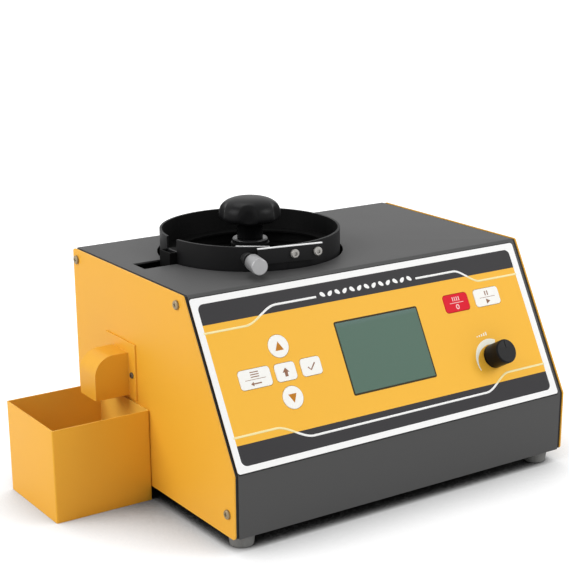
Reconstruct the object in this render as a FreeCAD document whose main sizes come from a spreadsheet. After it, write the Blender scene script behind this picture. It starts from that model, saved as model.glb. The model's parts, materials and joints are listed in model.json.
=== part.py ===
import FreeCAD, Part
import math
import os
import re
import Sketcher

# Bench seed counter: a sheet-metal console with a vibrating feed bowl on top,
# a key panel on its slope, and an outlet hood over a collecting box on its left.
# Sizes are in millimetres. X runs to the right, Y to the rear and Z up.
# Places are written from the middle of the case, its front face and its underside.

V = FreeCAD.Vector
doc = FreeCAD.newDocument("seed_counter")
dims = doc.addObject("Spreadsheet::Sheet", "Dims")

SIZES = {
    # how far cuts run past a face, and lengths that go right through
    "past": 1,
    "lap": 0.2,
    "through": 20,
    "through_bowl": 60,
    "small_bevel": 0.8,
    # case
    "case_width": 340,
    "case_depth": 260.5,
    "case_height": 177.7,
    "slope_foot": 52.6,
    "slope_run": 70.3,
    "sheet_thick": 1.5,
    "side_thick": 1.4,
    "seal_thick": 2.6,
    "seal_wide": 14,
    "seal_recess": 0.8,
    "bend_radius": 3,
    "corner_radius": 3,
    "tray_flange_high": 14.5,
    "tray_flange_end": 30,
    "block_size": 14,
    # case screws
    "screw_rear_inset": 7,
    "screw_top_drop": 9,
    "screw_front_inset": 9.6,
    "screw_low_rise": 18.8,
    "head_radius": 3.8,
    "head_high": 2.2,
    "shank_radius": 1.95,
    "shank_long": 9,
    "thread_depth": 8,
    "rear_thread_depth": 11,
    "thread_clear": 0.1,
    "hole_clear": 0.3,
    "rear_screw_inset": 10.6,
    # shares of a screw head: its bevel, and the cross in it
    "bevel_share": 0.45,
    "cross_floor": 0.55,
    "cross_long": 1.1,
    "cross_wide": 0.22,
    # feet
    "foot_high": 12,
    "foot_radius": 11,
    "foot_low_radius": 9.5,
    "foot_side_inset": 16,
    "foot_front_inset": 16,
    "foot_screw_depth": 6,
    # slope panel, in its own directions: across, up the slope, out of it
    "panel_mid": -1.45,
    "overlay_wide": 329,
    "overlay_low": 0.9,
    "overlay_high": 138.9,
    "overlay_thick": 0.5,
    "overlay_corner": 2.5,
    "lcd_wide": 83.1,
    "lcd_high": 59.6,
    "lcd_up": 70,
    "lens_proud": 0.3,
    "lens_clear": 0.15,
    "lcd_frame_wide": 97,
    "lcd_frame_high": 68,
    "key_row_up": 70,
    "arrow_across": -98.75,
    "arrow_spread": 21,
    "arrow_radius": 9.25,
    "side_key_wide": 19,
    "side_key_high": 14.5,
    "menu_across": -127.05,
    "menu_wide": 29,
    "menu_high": 15.6,
    "confirm_across": -74.55,
    "top_key_up": 97,
    "reset_across": 85.05,
    "reset_wide": 26.4,
    "pause_across": 119.25,
    "pause_wide": 27.6,
    "top_key_high": 15.5,
    "key_corner": 3,
    "key_clear": 0.3,
    "key_proud": 0.9,
    "key_lip": 1.2,
    "key_lip_thick": 1,
    "key_lip_gap": 0.2,
    "key_travel_room": 0.5,
    "board_thick": 1.6,
    "board_left": -146.5,
    "board_wide": 294,
    "board_low": 33,
    "board_high": 75,
    "standoff_high": 6.5,
    "standoff_radius": 3,
    "standoff_bore": 1.3,
    "switch_size": 6,
    "plunger_radius": 1.7,
    "plunger_high": 0.7,
    # speed control
    "dial_across": 106.85,
    "dial_up": 45,
    "dial_radius": 10.5,
    "dial_high": 18.5,
    "dial_gap": 0.5,
    "dial_bevel": 1,
    "dial_mark_wide": 1,
    "dial_mark_deep": 0.4,
    "pot_radius": 8,
    "pot_bush_radius": 4.5,
    "pot_bush_high": 4.5,
    "pot_shaft_radius": 3,
    "pot_shaft_high": 16,
    "pot_nut_radius": 6.4,
    "pot_nut_high": 2,
    "running_clear": 0.05,
    # feed bowl
    "bowl_across": -45,
    "bowl_from_rear": 89,
    "bowl_radius": 77.5,
    "bowl_wall": 2,
    "bowl_low": 157,
    "bowl_rim": 197.5,
    "bowl_floor_thick": 2.5,
    "bowl_corner": 3,
    "bowl_crown": 4,
    "hub_radius": 16.5,
    "hub_top": 184,
    "cover_gap": 2.5,
    "track_wide": 11,
    "track_thick": 1.5,
    "track_pitch": 12,
    "track_turns": 2,
    "outlet_low": 187,
    "outlet_angle": 172.7,
    "outlet_half": 8.2,
    "notch_reach": 12,
    # clamp
    "stud_radius": 4,
    "flange_radius": 15.5,
    "flange_thick": 4,
    "flange_bevel": 1,
    "stem_radius": 11.2,
    "knob_radius": 26.5,
    "knob_under": 203,
    "knob_edge": 210,
    "knob_top": 223.3,
    "knob_flat": 8,
    "knob_shoulder": 19,
    "knob_crown": 2.5,
    "knob_brow_radius": 24.4,
    "knob_brow": 216.6,
    "knob_turned": 52.5,
    "knob_scallop": 10,
    "knob_scallop_deep": 6.5,
    # gate
    "gate_angle": -100.5,
    "gate_plate_left": -24.7,
    "gate_plate_long": 56.9,
    "gate_plate_thick": 2,
    "gate_plate_low": 184,
    "gate_screw_a": 7.2,
    "gate_screw_b": 27.7,
    "gate_screw_up": 190.6,
    "gate_head_radius": 3.7,
    "gate_head_high": 2.6,
    "gate_shank_radius": 1.9,
    "gate_bore_in": 12,
    "gate_boss_in": 9,
    "gate_boss_lap": 0.3,
    "strip_angle": -127.3,
    "strip_inset": 2.2,
    "strip_left": -5.3,
    "strip_long": 27.8,
    "strip_thick": 1,
    "strip_low": 185.9,
    "strip_room": 1.4,
    "strip_under": 0.6,
    "strip_seat": 9,
    "strip_slot_long": 16,
    "thumb_angle": -104,
    "thumb_wall_angle": -123.6,
    "thumb_up": 188,
    "thumb_radius": 6.9,
    "thumb_start": 12,
    "thumb_end": 30.5,
    "thumb_shank": 2,
    "thumb_bore_in": 6,
    "collar_long": 3,
    "bush_radius": 5.5,
    "bush_long": 5,
    "tip_radius": 1.9,
    "tip_reach": 4.05,
    "tip_ease": 0.18,
    "tip_bevel": 1.1,
    "tip_pin_long": 3.4,
    # outlet guide and slot
    "guide_out": 6.5,
    "guide_half": 8.5,
    "guide_wall": 1.2,
    "guide_low": 150,
    "slot_out": 153.8,
    "slot_front": 11,
    "slot_rear": 10.2,
    # sensor and chute
    "channel_left": -142,
    "channel_wide": 21,
    "channel_low": 115,
    "channel_top": 148,
    "channel_half": 10.2,
    "channel_wall": 1.2,
    "sensor_up": 131,
    "sensor_window": 3,
    "sensor_size": 12,
    "sensor_thick": 8,
    "sensor_corner": 1.5,
    "chute_drop": 34,
    "chute_mouth_low": 77,
    "chute_mouth_high": 23,
    "chute_ahead": 8.5,
    "chute_wide": 20,
    # hood
    "hood_ahead": 9.5,
    "hood_wide": 28,
    "hood_low": 72,
    "hood_high": 37,
    "hood_out": 31,
    "hood_wall": 1.2,
    "hood_radius": 17,
    "hood_flange_ahead": 21.2,
    "hood_flange_wide": 51.4,
    "hood_flange_low": 70,
    "hood_flange_high": 48,
    "hood_flange_thick": 1.5,
    "hood_screw_inset": 5.9,
    "hood_screw_up": 20.5,
    "hood_head_radius": 2.6,
    "hood_head_high": 1.6,
    "hood_shank_radius": 1.45,
    # collecting box
    "box_gap": 0.4,
    "box_long": 86.9,
    "box_ahead": 41,
    "box_wide": 88.1,
    "box_high": 79.3,
    "box_wall": 1.2,
    "box_corner": 1.5,
    # drive
    "isolator_radius": 9,
    "isolator_high": 12.5,
    "isolator_ring": 42,
    "isolator_start": 90,
    "base_radius": 58,
    "base_thick": 18,
    "base_bevel": 2,
    "core_wide": 48,
    "core_deep": 24,
    "core_high": 46,
    "core_leg": 7,
    "core_yoke": 10,
    "core_middle": 14,
    "coil_wide": 32,
    "coil_deep": 40,
    "coil_high": 30,
    "coil_clear": 0.3,
    "coil_lift": 2,
    "coil_corner": 3,
    "air_gap": 1,
    "armature_thick": 8,
    "carrier_radius": 56,
    "carrier_low": 140,
    "carrier_thick": 8,
    "carrier_seat": 22,
    "carrier_neck": 10,
    "stud_low": 128,
    "stud_top": 205,
    "spring_wide": 20,
    "spring_thick": 2.4,
    "spring_ring": 43,
    "spring_lean": 28,
    "spring_start": 30,
    "spring_gap": 0.05,
    # mains side
    "inlet_across": 120,
    "inlet_up": 38,
    "inlet_wide": 27.6,
    "inlet_high": 20,
    "inlet_flange_wide": 34,
    "inlet_flange_high": 26,
    "inlet_proud": 3,
    "inlet_depth": 17,
    "inlet_cavity_wide": 24.4,
    "inlet_cavity_high": 16.4,
    "inlet_cavity_depth": 15,
    "pin_wide": 2,
    "pin_high": 4,
    "pin_spread": 7,
    "pin_long": 10,
    "switch_across": 78,
    "switch_flange_wide": 15,
    "switch_flange_high": 23,
    "switch_proud": 1.8,
    "switch_body_wide": 12.8,
    "switch_body_high": 20.4,
    "switch_depth": 13,
    "switch_cavity_wide": 10.6,
    "switch_cavity_high": 18,
    "rocker_side_gap": 0.2,
    "rocker_pivot_in": 4.5,
    "rocker_half": 8,
    "rocker_root": 3,
    "rocker_root_half": 6,
    "rocker_end": 5.6,
    "rocker_valley": 4.4,
    "rocker_tilt": 7,
    "rocker_pin_radius": 1.2,
    "cutout_clear": 0.2,
    "supply_across": 88,
    "supply_gap": 21.5,
    "supply_wide": 54,
    "supply_deep": 44,
    "supply_high": 40,
    "supply_notch": 9,
    "supply_foot": 4,
    "control_across": 34,
    "control_back": 24,
    "control_wide": 118,
    "control_deep": 120,
    "control_screw_inset": 5,
    "control_step": 2,
}

# Values that follow from the sizes above.
DERIVED = {
    "mid_x": "(box_gap + box_long - head_high) / 2",
    "front_y": "-(case_depth + inlet_proud) / 2",
    "slope_angle": "atan2(case_height - slope_foot; slope_run)",
    "half_case": "case_width / 2",
    "half_cover": "case_width / 2 - side_thick - seal_thick",
    "rear_inside": "case_depth - sheet_thick",
    "roof_inside": "case_height - sheet_thick",
    "bowl_back": "case_depth - bowl_from_rear",
    "bowl_inside": "bowl_radius - bowl_wall",
    "bowl_floor": "bowl_low + bowl_floor_thick",
    "stem_low": "hub_top + flange_thick",
    "base_low": "sheet_thick + isolator_high",
    "base_top": "sheet_thick + isolator_high + base_thick",
    "core_top": "sheet_thick + isolator_high + base_thick + core_high",
    "armature_low": "core_top + air_gap",
    "armature_top": "core_top + air_gap + armature_thick",
    "board_back": "-sheet_thick - standoff_high",
    "foot_side": "case_width / 2 - foot_side_inset",
    "foot_rear": "case_depth - foot_front_inset",
    "outlet_x": "bowl_across - bowl_radius",
    "guide_left": "bowl_across - bowl_radius - guide_out",
    "strip_out": "bowl_inside - strip_inset",
    "chute_front": "bowl_back - chute_ahead",
    "hood_front": "bowl_back - hood_ahead",
    "hood_flange_front": "bowl_back - hood_flange_ahead",
    "box_front": "bowl_back - box_ahead",
    "supply_back": "case_depth - inlet_depth - supply_gap - supply_deep",
    "hood_left": "-case_width / 2 - hood_flange_thick - hood_out",
    "pivot_y": "case_depth - rocker_pivot_in",
}


def ex(text):
    """Turn plain size names into an expression on the sheet's cells."""
    def word(found):
        name = found.group(0)
        if name in DERIVED:
            return "(" + ex(DERIVED[name]) + ")"
        return "Dims." + name if name in SIZES else name
    return re.sub(r"[a-z_][a-z_0-9]*", word, str(text))


def val(text):
    """The number that an expression has now."""
    answer = dims.evalExpression(ex(text))
    return float(getattr(answer, "Value", answer))


for row, (size_name, size) in enumerate(SIZES.items(), 1):
    dims.set("A%d" % row, str(size))
    dims.setAlias("A%d" % row, size_name)
doc.recompute()

count = [0]


def scratch(stem):
    count[0] += 1
    return "%s_%d" % (stem, count[0])


def bind(thing, **sizes):
    for name, text in sizes.items():
        thing.setExpression(name, ex(text))


def put(thing, place, spin=None):
    """Place an object: place is from the case's middle, front and underside."""
    for letter, start, text in zip("xyz", ("mid_x", "front_y", "foot_high"), place):
        thing.setExpression(".Placement.Base." + letter, ex("%s + (%s)" % (start, text)))
    if spin:
        axis, angle = spin
        turn = val(angle) or 1e-9
        thing.Placement = FreeCAD.Placement(V(), FreeCAD.Rotation(V(*axis), turn))
        thing.setExpression(".Placement.Rotation.Angle", ex(angle))
    return thing


def block(place, size, spin=None, name=None):
    piece = doc.addObject("Part::Box", name or scratch("block"))
    bind(piece, Length=size[0], Width=size[1], Height=size[2])
    return put(piece, place, spin)


AXIS_TURNS = {
    "+z": None,
    "-z": ((1, 0, 0), "180"),
    "+x": ((0, 1, 0), "90"),
    "-x": ((0, -1, 0), "90"),
    "+y": ((-1, 0, 0), "90"),
    "-y": ((1, 0, 0), "90"),
    "slope": ((1, 0, 0), "slope_angle"),
}


def rod(place, radius, height, way="+z", spin=None, name=None):
    piece = doc.addObject("Part::Cylinder", name or scratch("rod"))
    bind(piece, Radius=radius, Height=height)
    return put(piece, place, spin or AXIS_TURNS[way])


def taper(place, low, high, height, way="+z", name=None):
    piece = doc.addObject("Part::Cone", name or scratch("taper"))
    bind(piece, Radius1=low, Radius2=high, Height=height)
    return put(piece, place, AXIS_TURNS[way])


def join(pieces, name=None):
    if len(pieces) == 1:
        return pieces[0]
    whole = doc.addObject("Part::MultiFuse", name or scratch("join"))
    whole.Shapes = pieces
    whole.Refine = True
    return whole


def cut(base, tools, name=None):
    whole = doc.addObject("Part::Cut", name or scratch("cut"))
    whole.Base = base
    whole.Tool = join(tools)
    return whole


def group(pieces, name=None):
    whole = doc.addObject("Part::Compound", name or scratch("group"))
    whole.Links = pieces
    return whole


def rounded(piece, edges, radius, name=None):
    """Round the numbered edges of a piece by a size from the sheet."""
    whole = doc.addObject("Part::Fillet", name or scratch("rounded"))
    whole.Base = piece
    whole.Edges = [(number, val(radius), val(radius)) for number in edges]
    return whole


def bevelled(piece, edges, size, name=None):
    """Take the numbered edges of a piece off at 45 degrees."""
    whole = doc.addObject("Part::Chamfer", name or scratch("bevelled"))
    whole.Base = piece
    whole.Edges = [(number, val(size), val(size)) for number in edges]
    return whole


UPRIGHT_EDGES = (1, 3, 5, 7)
LOW_EDGE = (2,)
TOP_EDGE = (3,)
BOTH_ENDS = (2, 3)


def on_slope(across, up, out):
    """A place on the slope: across, up it from its foot, and out of it."""
    y = "(%s) * cos(slope_angle) - (%s) * sin(slope_angle)" % (up, out)
    z = "slope_foot + (%s) * sin(slope_angle) + (%s) * cos(slope_angle)" % (up, out)
    return (across, y, z)


def slope_block(across, up, out, size, name=None):
    """A block that is centred across and up the slope, and starts at out."""
    place = on_slope("%s - (%s) / 2" % (across, size[0]), "%s - (%s) / 2" % (up, size[1]), out)
    return block(place, size, AXIS_TURNS["slope"], name)


def slope_pad(across, up, out, size, corner, name=None):
    return rounded(slope_block(across, up, out, size), UPRIGHT_EDGES, corner, name)


def around(angle, out, along, up):
    """A place near the bowl: out along a direction, sideways to it, and up."""
    x = "bowl_across + (%s) * cos(%s) - (%s) * sin(%s)" % (out, angle, along, angle)
    y = "bowl_back + (%s) * sin(%s) + (%s) * cos(%s)" % (out, angle, along, angle)
    return (x, y, up)


def around_block(angle, out, along, up, size, name=None):
    return block(around(angle, out, along, up), size, ((0, 0, 1), angle), name)


def around_rod(angle, out, along, up, radius, length, name=None):
    """A rod that starts at out and runs further outwards."""
    piece = rod(around(angle, out, along, up), radius, length, name=name)
    turn = FreeCAD.Rotation(V(0, 0, 1), val(angle)) * FreeCAD.Rotation(V(0, 1, 0), 90)
    piece.Placement = FreeCAD.Placement(piece.Placement.Base, turn)
    return piece


def origin_plane(body, role):
    return [item for item in body.Origin.OriginFeatures if item.Role == role][0]


def outline_sketch(body, plane, points, holes=()):
    """A closed sketch. A point is (x, y), or (x, y, radius, side) where an arc arrives there."""
    sketch = body.newObject("Sketcher::SketchObject", scratch("outline"))
    sketch.AttachmentSupport = [(origin_plane(body, plane), "")]
    sketch.MapMode = "FlatFace"
    spots = [V(val(point[0]), val(point[1]), 0) for point in points]
    total = len(points)
    starts = []
    for index, point in enumerate(points):
        begin = spots[index - 1]
        end = spots[index]
        if len(point) == 2:
            sketch.addGeometry(Part.LineSegment(begin, end), False)
            starts.append((1, 2))
            continue
        middle = (begin + end) * 0.5
        chord = end - begin
        radius = val(point[2])
        side = V(-chord.y, chord.x, 0).normalize() * point[3]
        rise = radius - math.sqrt(max(radius ** 2 - chord.Length ** 2 / 4, 0))
        number = sketch.addGeometry(Part.Arc(begin, middle + side * rise, end), False)
        flipped = (sketch.Geometry[number].StartPoint - begin).Length > 1e-6
        starts.append((2, 1) if flipped else (1, 2))
        ring = sketch.addConstraint(Sketcher.Constraint("Radius", number, radius))
        sketch.setExpression("Constraints[%d]" % ring, ex(point[2]))
    for index in range(total):
        after = (index + 1) % total
        joint = Sketcher.Constraint("Coincident", index, starts[index][1], after, starts[after][0])
        sketch.addConstraint(joint)
    for index, point in enumerate(points):
        for kind, text, number in (("DistanceX", point[0], spots[index].x),
                                   ("DistanceY", point[1], spots[index].y)):
            tie = Sketcher.Constraint(kind, -1, 1, index, starts[index][1], number)
            sketch.setExpression("Constraints[%d]" % sketch.addConstraint(tie), ex(text))
    for x, y, radius in holes:
        ring = Part.Circle(V(val(x), val(y), 0), V(0, 0, 1), val(radius))
        number = sketch.addGeometry(ring, False)
        for kind, text in (("DistanceX", x), ("DistanceY", y)):
            tie = Sketcher.Constraint(kind, -1, 1, number, 3, val(text))
            sketch.setExpression("Constraints[%d]" % sketch.addConstraint(tie), ex(text))
        tie = sketch.addConstraint(Sketcher.Constraint("Radius", number, val(radius)))
        sketch.setExpression("Constraints[%d]" % tie, ex(radius))
    return sketch


def prism(plane, points, length, place, spin=None, holes=(), name=None):
    """A body padded from one sketch."""
    body = doc.addObject("PartDesign::Body", name or scratch("prism"))
    sketch = outline_sketch(body, plane, points, holes)
    pad = body.newObject("PartDesign::Pad", scratch("pad"))
    pad.Profile = sketch
    bind(pad, Length=length)
    put(body, place, spin)
    return body


def turned(points, place, name=None):
    """A body revolved about its own upright axis from an outline of (radius, height)."""
    body = doc.addObject("PartDesign::Body", name or scratch("turned"))
    sketch = outline_sketch(body, "XZ_Plane", points)
    whole = body.newObject("PartDesign::Revolution", scratch("revolve"))
    whole.Profile = sketch
    whole.ReferenceAxis = (sketch, ["V_Axis"])
    whole.Angle = 360
    put(body, place)
    return body


def round_edges(body, spots, radius):
    """Round the long edges of a padded body that pass through the given (y, z) places."""
    doc.recompute()
    base = body.Tip
    wanted = [(val(y), val(z)) for y, z in spots]
    names = []
    for number, edge in enumerate(base.Shape.Edges, 1):
        one, two = edge.Vertexes[0].Point, edge.Vertexes[-1].Point
        for y, z in wanted:
            if all(abs(p.y - y) < 0.01 and abs(p.z - z) < 0.01 for p in (one, two)):
                names.append("Edge%d" % number)
    fillet = body.newObject("PartDesign::Fillet", scratch("bend"))
    fillet.Base = (base, names)
    bind(fillet, Radius=radius)
    body.Tip = fillet
    return body


def case_outline(inset):
    """The five corners of the case's side view, moved in by inset."""
    lower = "slope_foot - (%s) * (1 - sin(slope_angle)) / cos(slope_angle)" % inset
    upper = "slope_run + (%s) * (1 - cos(slope_angle)) / sin(slope_angle)" % inset
    roof = "case_height - (%s)" % inset
    rear = "case_depth - (%s)" % inset
    return [(inset, inset), (inset, lower), (upper, roof), (rear, roof), (rear, inset)]


SIDE_SCREWS = [
    ("case_depth - screw_rear_inset", "case_height - screw_top_drop"),
    ("slope_run + screw_front_inset", "case_height - screw_top_drop"),
    ("screw_front_inset", "screw_low_rise"),
    ("case_depth - screw_front_inset", "screw_low_rise"),
]
SIDES = (("left", -1), ("right", 1))


def side_panel(name, side):
    holes = [(y, z, "shank_radius + hole_clear") for y, z in SIDE_SCREWS]
    start = "-half_case" if side < 0 else "half_case - side_thick"
    panel = prism("YZ_Plane", case_outline("0"), "side_thick", (start, "0", "0"), holes=holes)
    round_edges(panel, case_outline("0"), "corner_radius")
    if side > 0:
        panel.Label = name
        return panel
    mouth = block(("-half_case - 1", "chute_front - cutout_clear", "chute_mouth_low - cutout_clear"),
                  ("side_thick + 2", "chute_wide + 2 * cutout_clear",
                   "chute_mouth_high + 2 * cutout_clear"))
    return cut(panel, [mouth], name)


def edge_seal(name, side):
    start = "-half_case + side_thick" if side < 0 else "half_cover"
    ring = prism("YZ_Plane", case_outline("seal_recess"), "seal_thick", (start, "0", "0"))
    inside = prism("YZ_Plane", case_outline("seal_recess + seal_wide"), "seal_thick + 2",
                   ("%s - 1" % start, "0", "0"))
    tools = [inside]
    for y, z in SIDE_SCREWS:
        tools.append(rod(("%s - 1" % start, y, z), "shank_radius + hole_clear", "seal_thick + 2", "+x"))
    return cut(ring, tools, name)


KEYS = {
    "key_up": ("arrow_across", "key_row_up + arrow_spread", None, None),
    "key_down": ("arrow_across", "key_row_up - arrow_spread", None, None),
    "key_menu": ("menu_across", "key_row_up", "menu_wide", "menu_high"),
    "key_shift": ("arrow_across", "key_row_up", "side_key_wide", "side_key_high"),
    "key_confirm": ("confirm_across", "key_row_up", "side_key_wide", "side_key_high"),
    "key_reset": ("reset_across", "top_key_up", "reset_wide", "top_key_high"),
    "key_pause": ("pause_across", "top_key_up", "pause_wide", "top_key_high"),
}


def across(text):
    return "panel_mid + (%s)" % text


def key_form(key, grow, low, high, name=None):
    """The outline of a key, grown by a clearance or a lip, from low to high."""
    place, up, wide, tall = KEYS[key]
    thick = "(%s) - (%s)" % (high, low)
    if wide is None:
        return rod(on_slope(across(place), up, low), "arrow_radius + (%s)" % grow, thick, "slope", name=name)
    size = ("%s + 2 * (%s)" % (wide, grow), "%s + 2 * (%s)" % (tall, grow), thick)
    return slope_pad(across(place), up, low, size, "key_corner + (%s)" % grow, name)


def key(name):
    lip_top = "-sheet_thick - key_lip_gap"
    lip_low = "-sheet_thick - key_lip_gap - key_lip_thick"
    cap = key_form(name, "0", lip_low, "key_proud")
    lip = key_form(name, "key_lip", lip_low, lip_top)
    return join([cap, lip], name)


def panel_openings(low, high):
    tools = [key_form(name, "key_clear", low, high) for name in KEYS]
    thick = "(%s) - (%s)" % (high, low)
    tools.append(slope_block("panel_mid", "lcd_up", low, ("lcd_wide", "lcd_high", thick)))
    tools.append(rod(on_slope(across("dial_across"), "dial_up", low),
                     "pot_bush_radius + cutout_clear", thick, "slope"))
    return tools


def top_front_cover():
    outer = case_outline("0")
    inner = case_outline("sheet_thick")
    profile = [("0", "0"), outer[1], outer[2], ("case_depth", "case_height"),
               ("case_depth", "roof_inside"), inner[2], inner[1], ("sheet_thick", "0")]
    cover = prism("YZ_Plane", profile, "2 * half_cover", ("-half_cover", "0", "0"))
    round_edges(cover, [outer[1], outer[2]], "bend_radius")
    round_edges(cover, [inner[1], inner[2]], "bend_radius - sheet_thick")
    tools = panel_openings("-sheet_thick - past", "past")
    tools.append(rod(("bowl_across", "bowl_back", "case_height - through / 2"),
                     "bowl_radius + cover_gap", "through"))
    tools.append(block(("-slot_out", "bowl_back - slot_front", "case_height - through / 2"),
                       ("slot_out + bowl_across - bowl_radius + 4", "slot_front + slot_rear", "through")))
    return cut(cover, tools, "top_front_cover")


def foot_places():
    for side in (-1, 1):
        for back in ("foot_front_inset", "foot_rear"):
            yield ("%d * foot_side" % side, back)


def base_tray():
    floor = block(("-half_cover", "sheet_thick", "0"),
                  ("2 * half_cover", "case_depth - 2 * sheet_thick", "sheet_thick"))
    parts = [floor]
    for start in ("-half_cover", "half_cover - sheet_thick"):
        size = ("sheet_thick", "case_depth - 2 * tray_flange_end", "tray_flange_high + sheet_thick")
        parts.append(block((start, "tray_flange_end", "0"), size))
    tools = [rod((x, y, "-1"), "shank_radius + hole_clear", "sheet_thick + 2") for x, y in foot_places()]
    return cut(join(parts), tools, "base_tray")


def rear_screw_places():
    for side in (-1, 1):
        for up in ("roof_inside - block_size / 2", "screw_low_rise"):
            yield ("%d * (half_cover - rear_screw_inset)" % side, up)


def rear_panel():
    plate = block(("-half_cover", "rear_inside", "0"), ("2 * half_cover", "sheet_thick", "roof_inside"))
    tools = []
    for x, z, wide, high in (("inlet_across", "inlet_up", "inlet_wide", "inlet_high"),
                             ("switch_across", "inlet_up", "switch_body_wide", "switch_body_high")):
        tools.append(block(("%s - %s / 2 - cutout_clear" % (x, wide), "rear_inside - 1",
                            "%s - %s / 2 - cutout_clear" % (z, high)),
                           ("%s + 2 * cutout_clear" % wide, "sheet_thick + 2",
                            "%s + 2 * cutout_clear" % high)))
    for x, z in rear_screw_places():
        tools.append(rod((x, "rear_inside - 1", z), "shank_radius + hole_clear", "sheet_thick + 2", "+y"))
    return cut(plate, tools, "rear_panel")


def corner_blocks():
    spots = (("rear_inside - block_size", "roof_inside - block_size"),
             ("slope_run + screw_front_inset - block_size / 2", "roof_inside - block_size"),
             ("sheet_thick", "screw_low_rise - block_size / 2"),
             ("rear_inside - block_size", "screw_low_rise - block_size / 2"))
    pieces = []
    for name, side in SIDES:
        start = "-half_cover" if side < 0 else "half_cover - block_size"
        for (y, z), (screw_y, screw_z) in zip(spots, SIDE_SCREWS):
            body = block((start, y, z), ("block_size", "block_size", "block_size"))
            way = "+x" if side < 0 else "-x"
            tools = [rod(("%d * (half_cover + 1)" % side, screw_y, screw_z),
                         "shank_radius + thread_clear", "thread_depth", way)]
            if "rear" in y:
                x = "%d * (half_cover - rear_screw_inset)" % side
                up = "%s + block_size / 2" % z
                tools.append(rod((x, "rear_inside + 1", up), "shank_radius + thread_clear",
                                 "rear_thread_depth", "-y"))
            pieces.append(cut(body, tools))
    return group(pieces, "corner_blocks")


def screw(place, way, head_radius, head_high, shank_radius, shank_long):
    """A pan head screw whose head stands on place and points along way."""
    sign = -1 if way[0] == "+" else 1
    back = ("-" if way[0] == "+" else "+") + way[1]
    letter = "xyz".index(way[1])
    head = rod(place, head_radius, head_high, way)
    dome = bevelled(head, TOP_EDGE, "(%s) * bevel_share" % head_high)
    shank = rod(place, shank_radius, shank_long, back)
    slot = list(place)
    slot[letter] = "%s + %d * (%s) * cross_floor" % (place[letter], -sign, head_high)
    tools = []
    for turn in (0, 1):
        size = ["%s * cross_long" % head_radius] * 3
        size[letter] = head_high
        side = [number for number in range(3) if number != letter]
        size[side[turn]] = "%s * cross_wide" % head_radius
        corner = list(slot)
        for number in side:
            corner[number] = "%s - (%s) / 2" % (place[number], size[number])
        if sign > 0:
            corner[letter] = "%s - (%s)" % (slot[letter], head_high)
        tools.append(block(corner, size))
    return cut(join([dome, shank]), tools)


def case_screws():
    pieces = []
    sizes = ("head_radius", "head_high", "shank_radius", "shank_long")
    for name, side in SIDES:
        for y, z in SIDE_SCREWS:
            pieces.append(screw(("%d * half_case" % side, y, z), "-x" if side < 0 else "+x", *sizes))
    for x, z in rear_screw_places():
        pieces.append(screw((x, "case_depth", z), "+y", *sizes))
    return group(pieces, "case_screws")


def feet():
    pieces = []
    for x, y in foot_places():
        body = taper((x, y, "-foot_high"), "foot_low_radius", "foot_radius", "foot_high")
        seat = rod((x, y, "-foot_high - 1"), "head_radius + 0.6", "1 + foot_high - foot_screw_depth")
        hole = rod((x, y, "-foot_high"), "shank_radius + hole_clear", "foot_high + 1")
        pieces.append(cut(body, [seat, hole]))
    return group(pieces, "feet")


def foot_screws():
    sizes = ("head_radius", "head_high", "shank_radius", "foot_screw_depth + 4")
    pieces = [screw((x, y, "-foot_screw_depth"), "-z", *sizes) for x, y in foot_places()]
    return group(pieces, "foot_screws")


def front_overlay():
    sheet = slope_pad("panel_mid", "overlay_low + overlay_high / 2", "0",
                      ("overlay_wide", "overlay_high", "overlay_thick"), "overlay_corner")
    return cut(sheet, panel_openings("-past", "past"), "front_overlay")


def lcd_lens():
    size = ("lcd_wide - 2 * lens_clear", "lcd_high - 2 * lens_clear",
            "sheet_thick + overlay_thick + lens_proud")
    return slope_block("panel_mid", "lcd_up", "-sheet_thick", size, "lcd_lens")


def lcd_module():
    frame = slope_block("panel_mid", "lcd_up", "board_back",
                        ("lcd_frame_wide", "lcd_frame_high", "standoff_high"))
    return rounded(frame, UPRIGHT_EDGES, "overlay_corner", "lcd_module")


STANDOFFS = [(-141.5, 38), (-141.5, 103), (142.5, 38), (142.5, 103), (57, 40), (-57, 103)]


def panel_board():
    board = block(on_slope(across("board_left"), "board_low", "board_back - board_thick"),
                  ("board_wide", "board_high", "board_thick"), AXIS_TURNS["slope"], "panel_board")
    return board


def key_switches():
    pieces = []
    for place, up, wide, tall in KEYS.values():
        lip_low = "-sheet_thick - key_lip_gap - key_lip_thick"
        top = "%s - key_travel_room" % lip_low
        size = ("switch_size", "switch_size", "%s - plunger_high - (board_back)" % top)
        case = slope_block(across(place), up, "board_back", size)
        pin = rod(on_slope(across(place), up, "%s - plunger_high" % top), "plunger_radius",
                  "plunger_high", "slope")
        pieces.append(join([case, pin]))
    return group(pieces, "key_switches")


def tube(place, radius, bore, height, way="+z"):
    inner = list(place)
    return cut(rod(place, radius, height, way), [rod(inner, bore, height, way)])


def control_board_corners():
    for x in ("control_across + control_screw_inset",
              "control_across + control_wide - control_screw_inset"):
        for y in ("control_back + control_screw_inset",
                  "control_back + control_deep - control_screw_inset"):
            yield (x, y)


def board_standoffs():
    pieces = []
    for s, t in STANDOFFS:
        place = on_slope(across(s), t, "board_back")
        pieces.append(tube(place, "standoff_radius", "standoff_bore", "standoff_high", "slope"))
    for x, y in control_board_corners():
        pieces.append(tube((x, y, "sheet_thick"), "standoff_radius", "standoff_bore", "standoff_high"))
    return group(pieces, "board_standoffs")


def dial_place(out):
    return on_slope(across("dial_across"), "dial_up", out)


def speed_potentiometer():
    body = rod(dial_place("board_back"), "pot_radius", "standoff_high", "slope")
    bush = rod(dial_place("-sheet_thick"), "pot_bush_radius",
               "sheet_thick + pot_bush_high", "slope")
    bore = rod(dial_place("-sheet_thick - 1"), "pot_shaft_radius + running_clear",
               "sheet_thick + pot_bush_high + 2", "slope")
    return cut(join([body, bush]), [bore], "speed_potentiometer")


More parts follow.
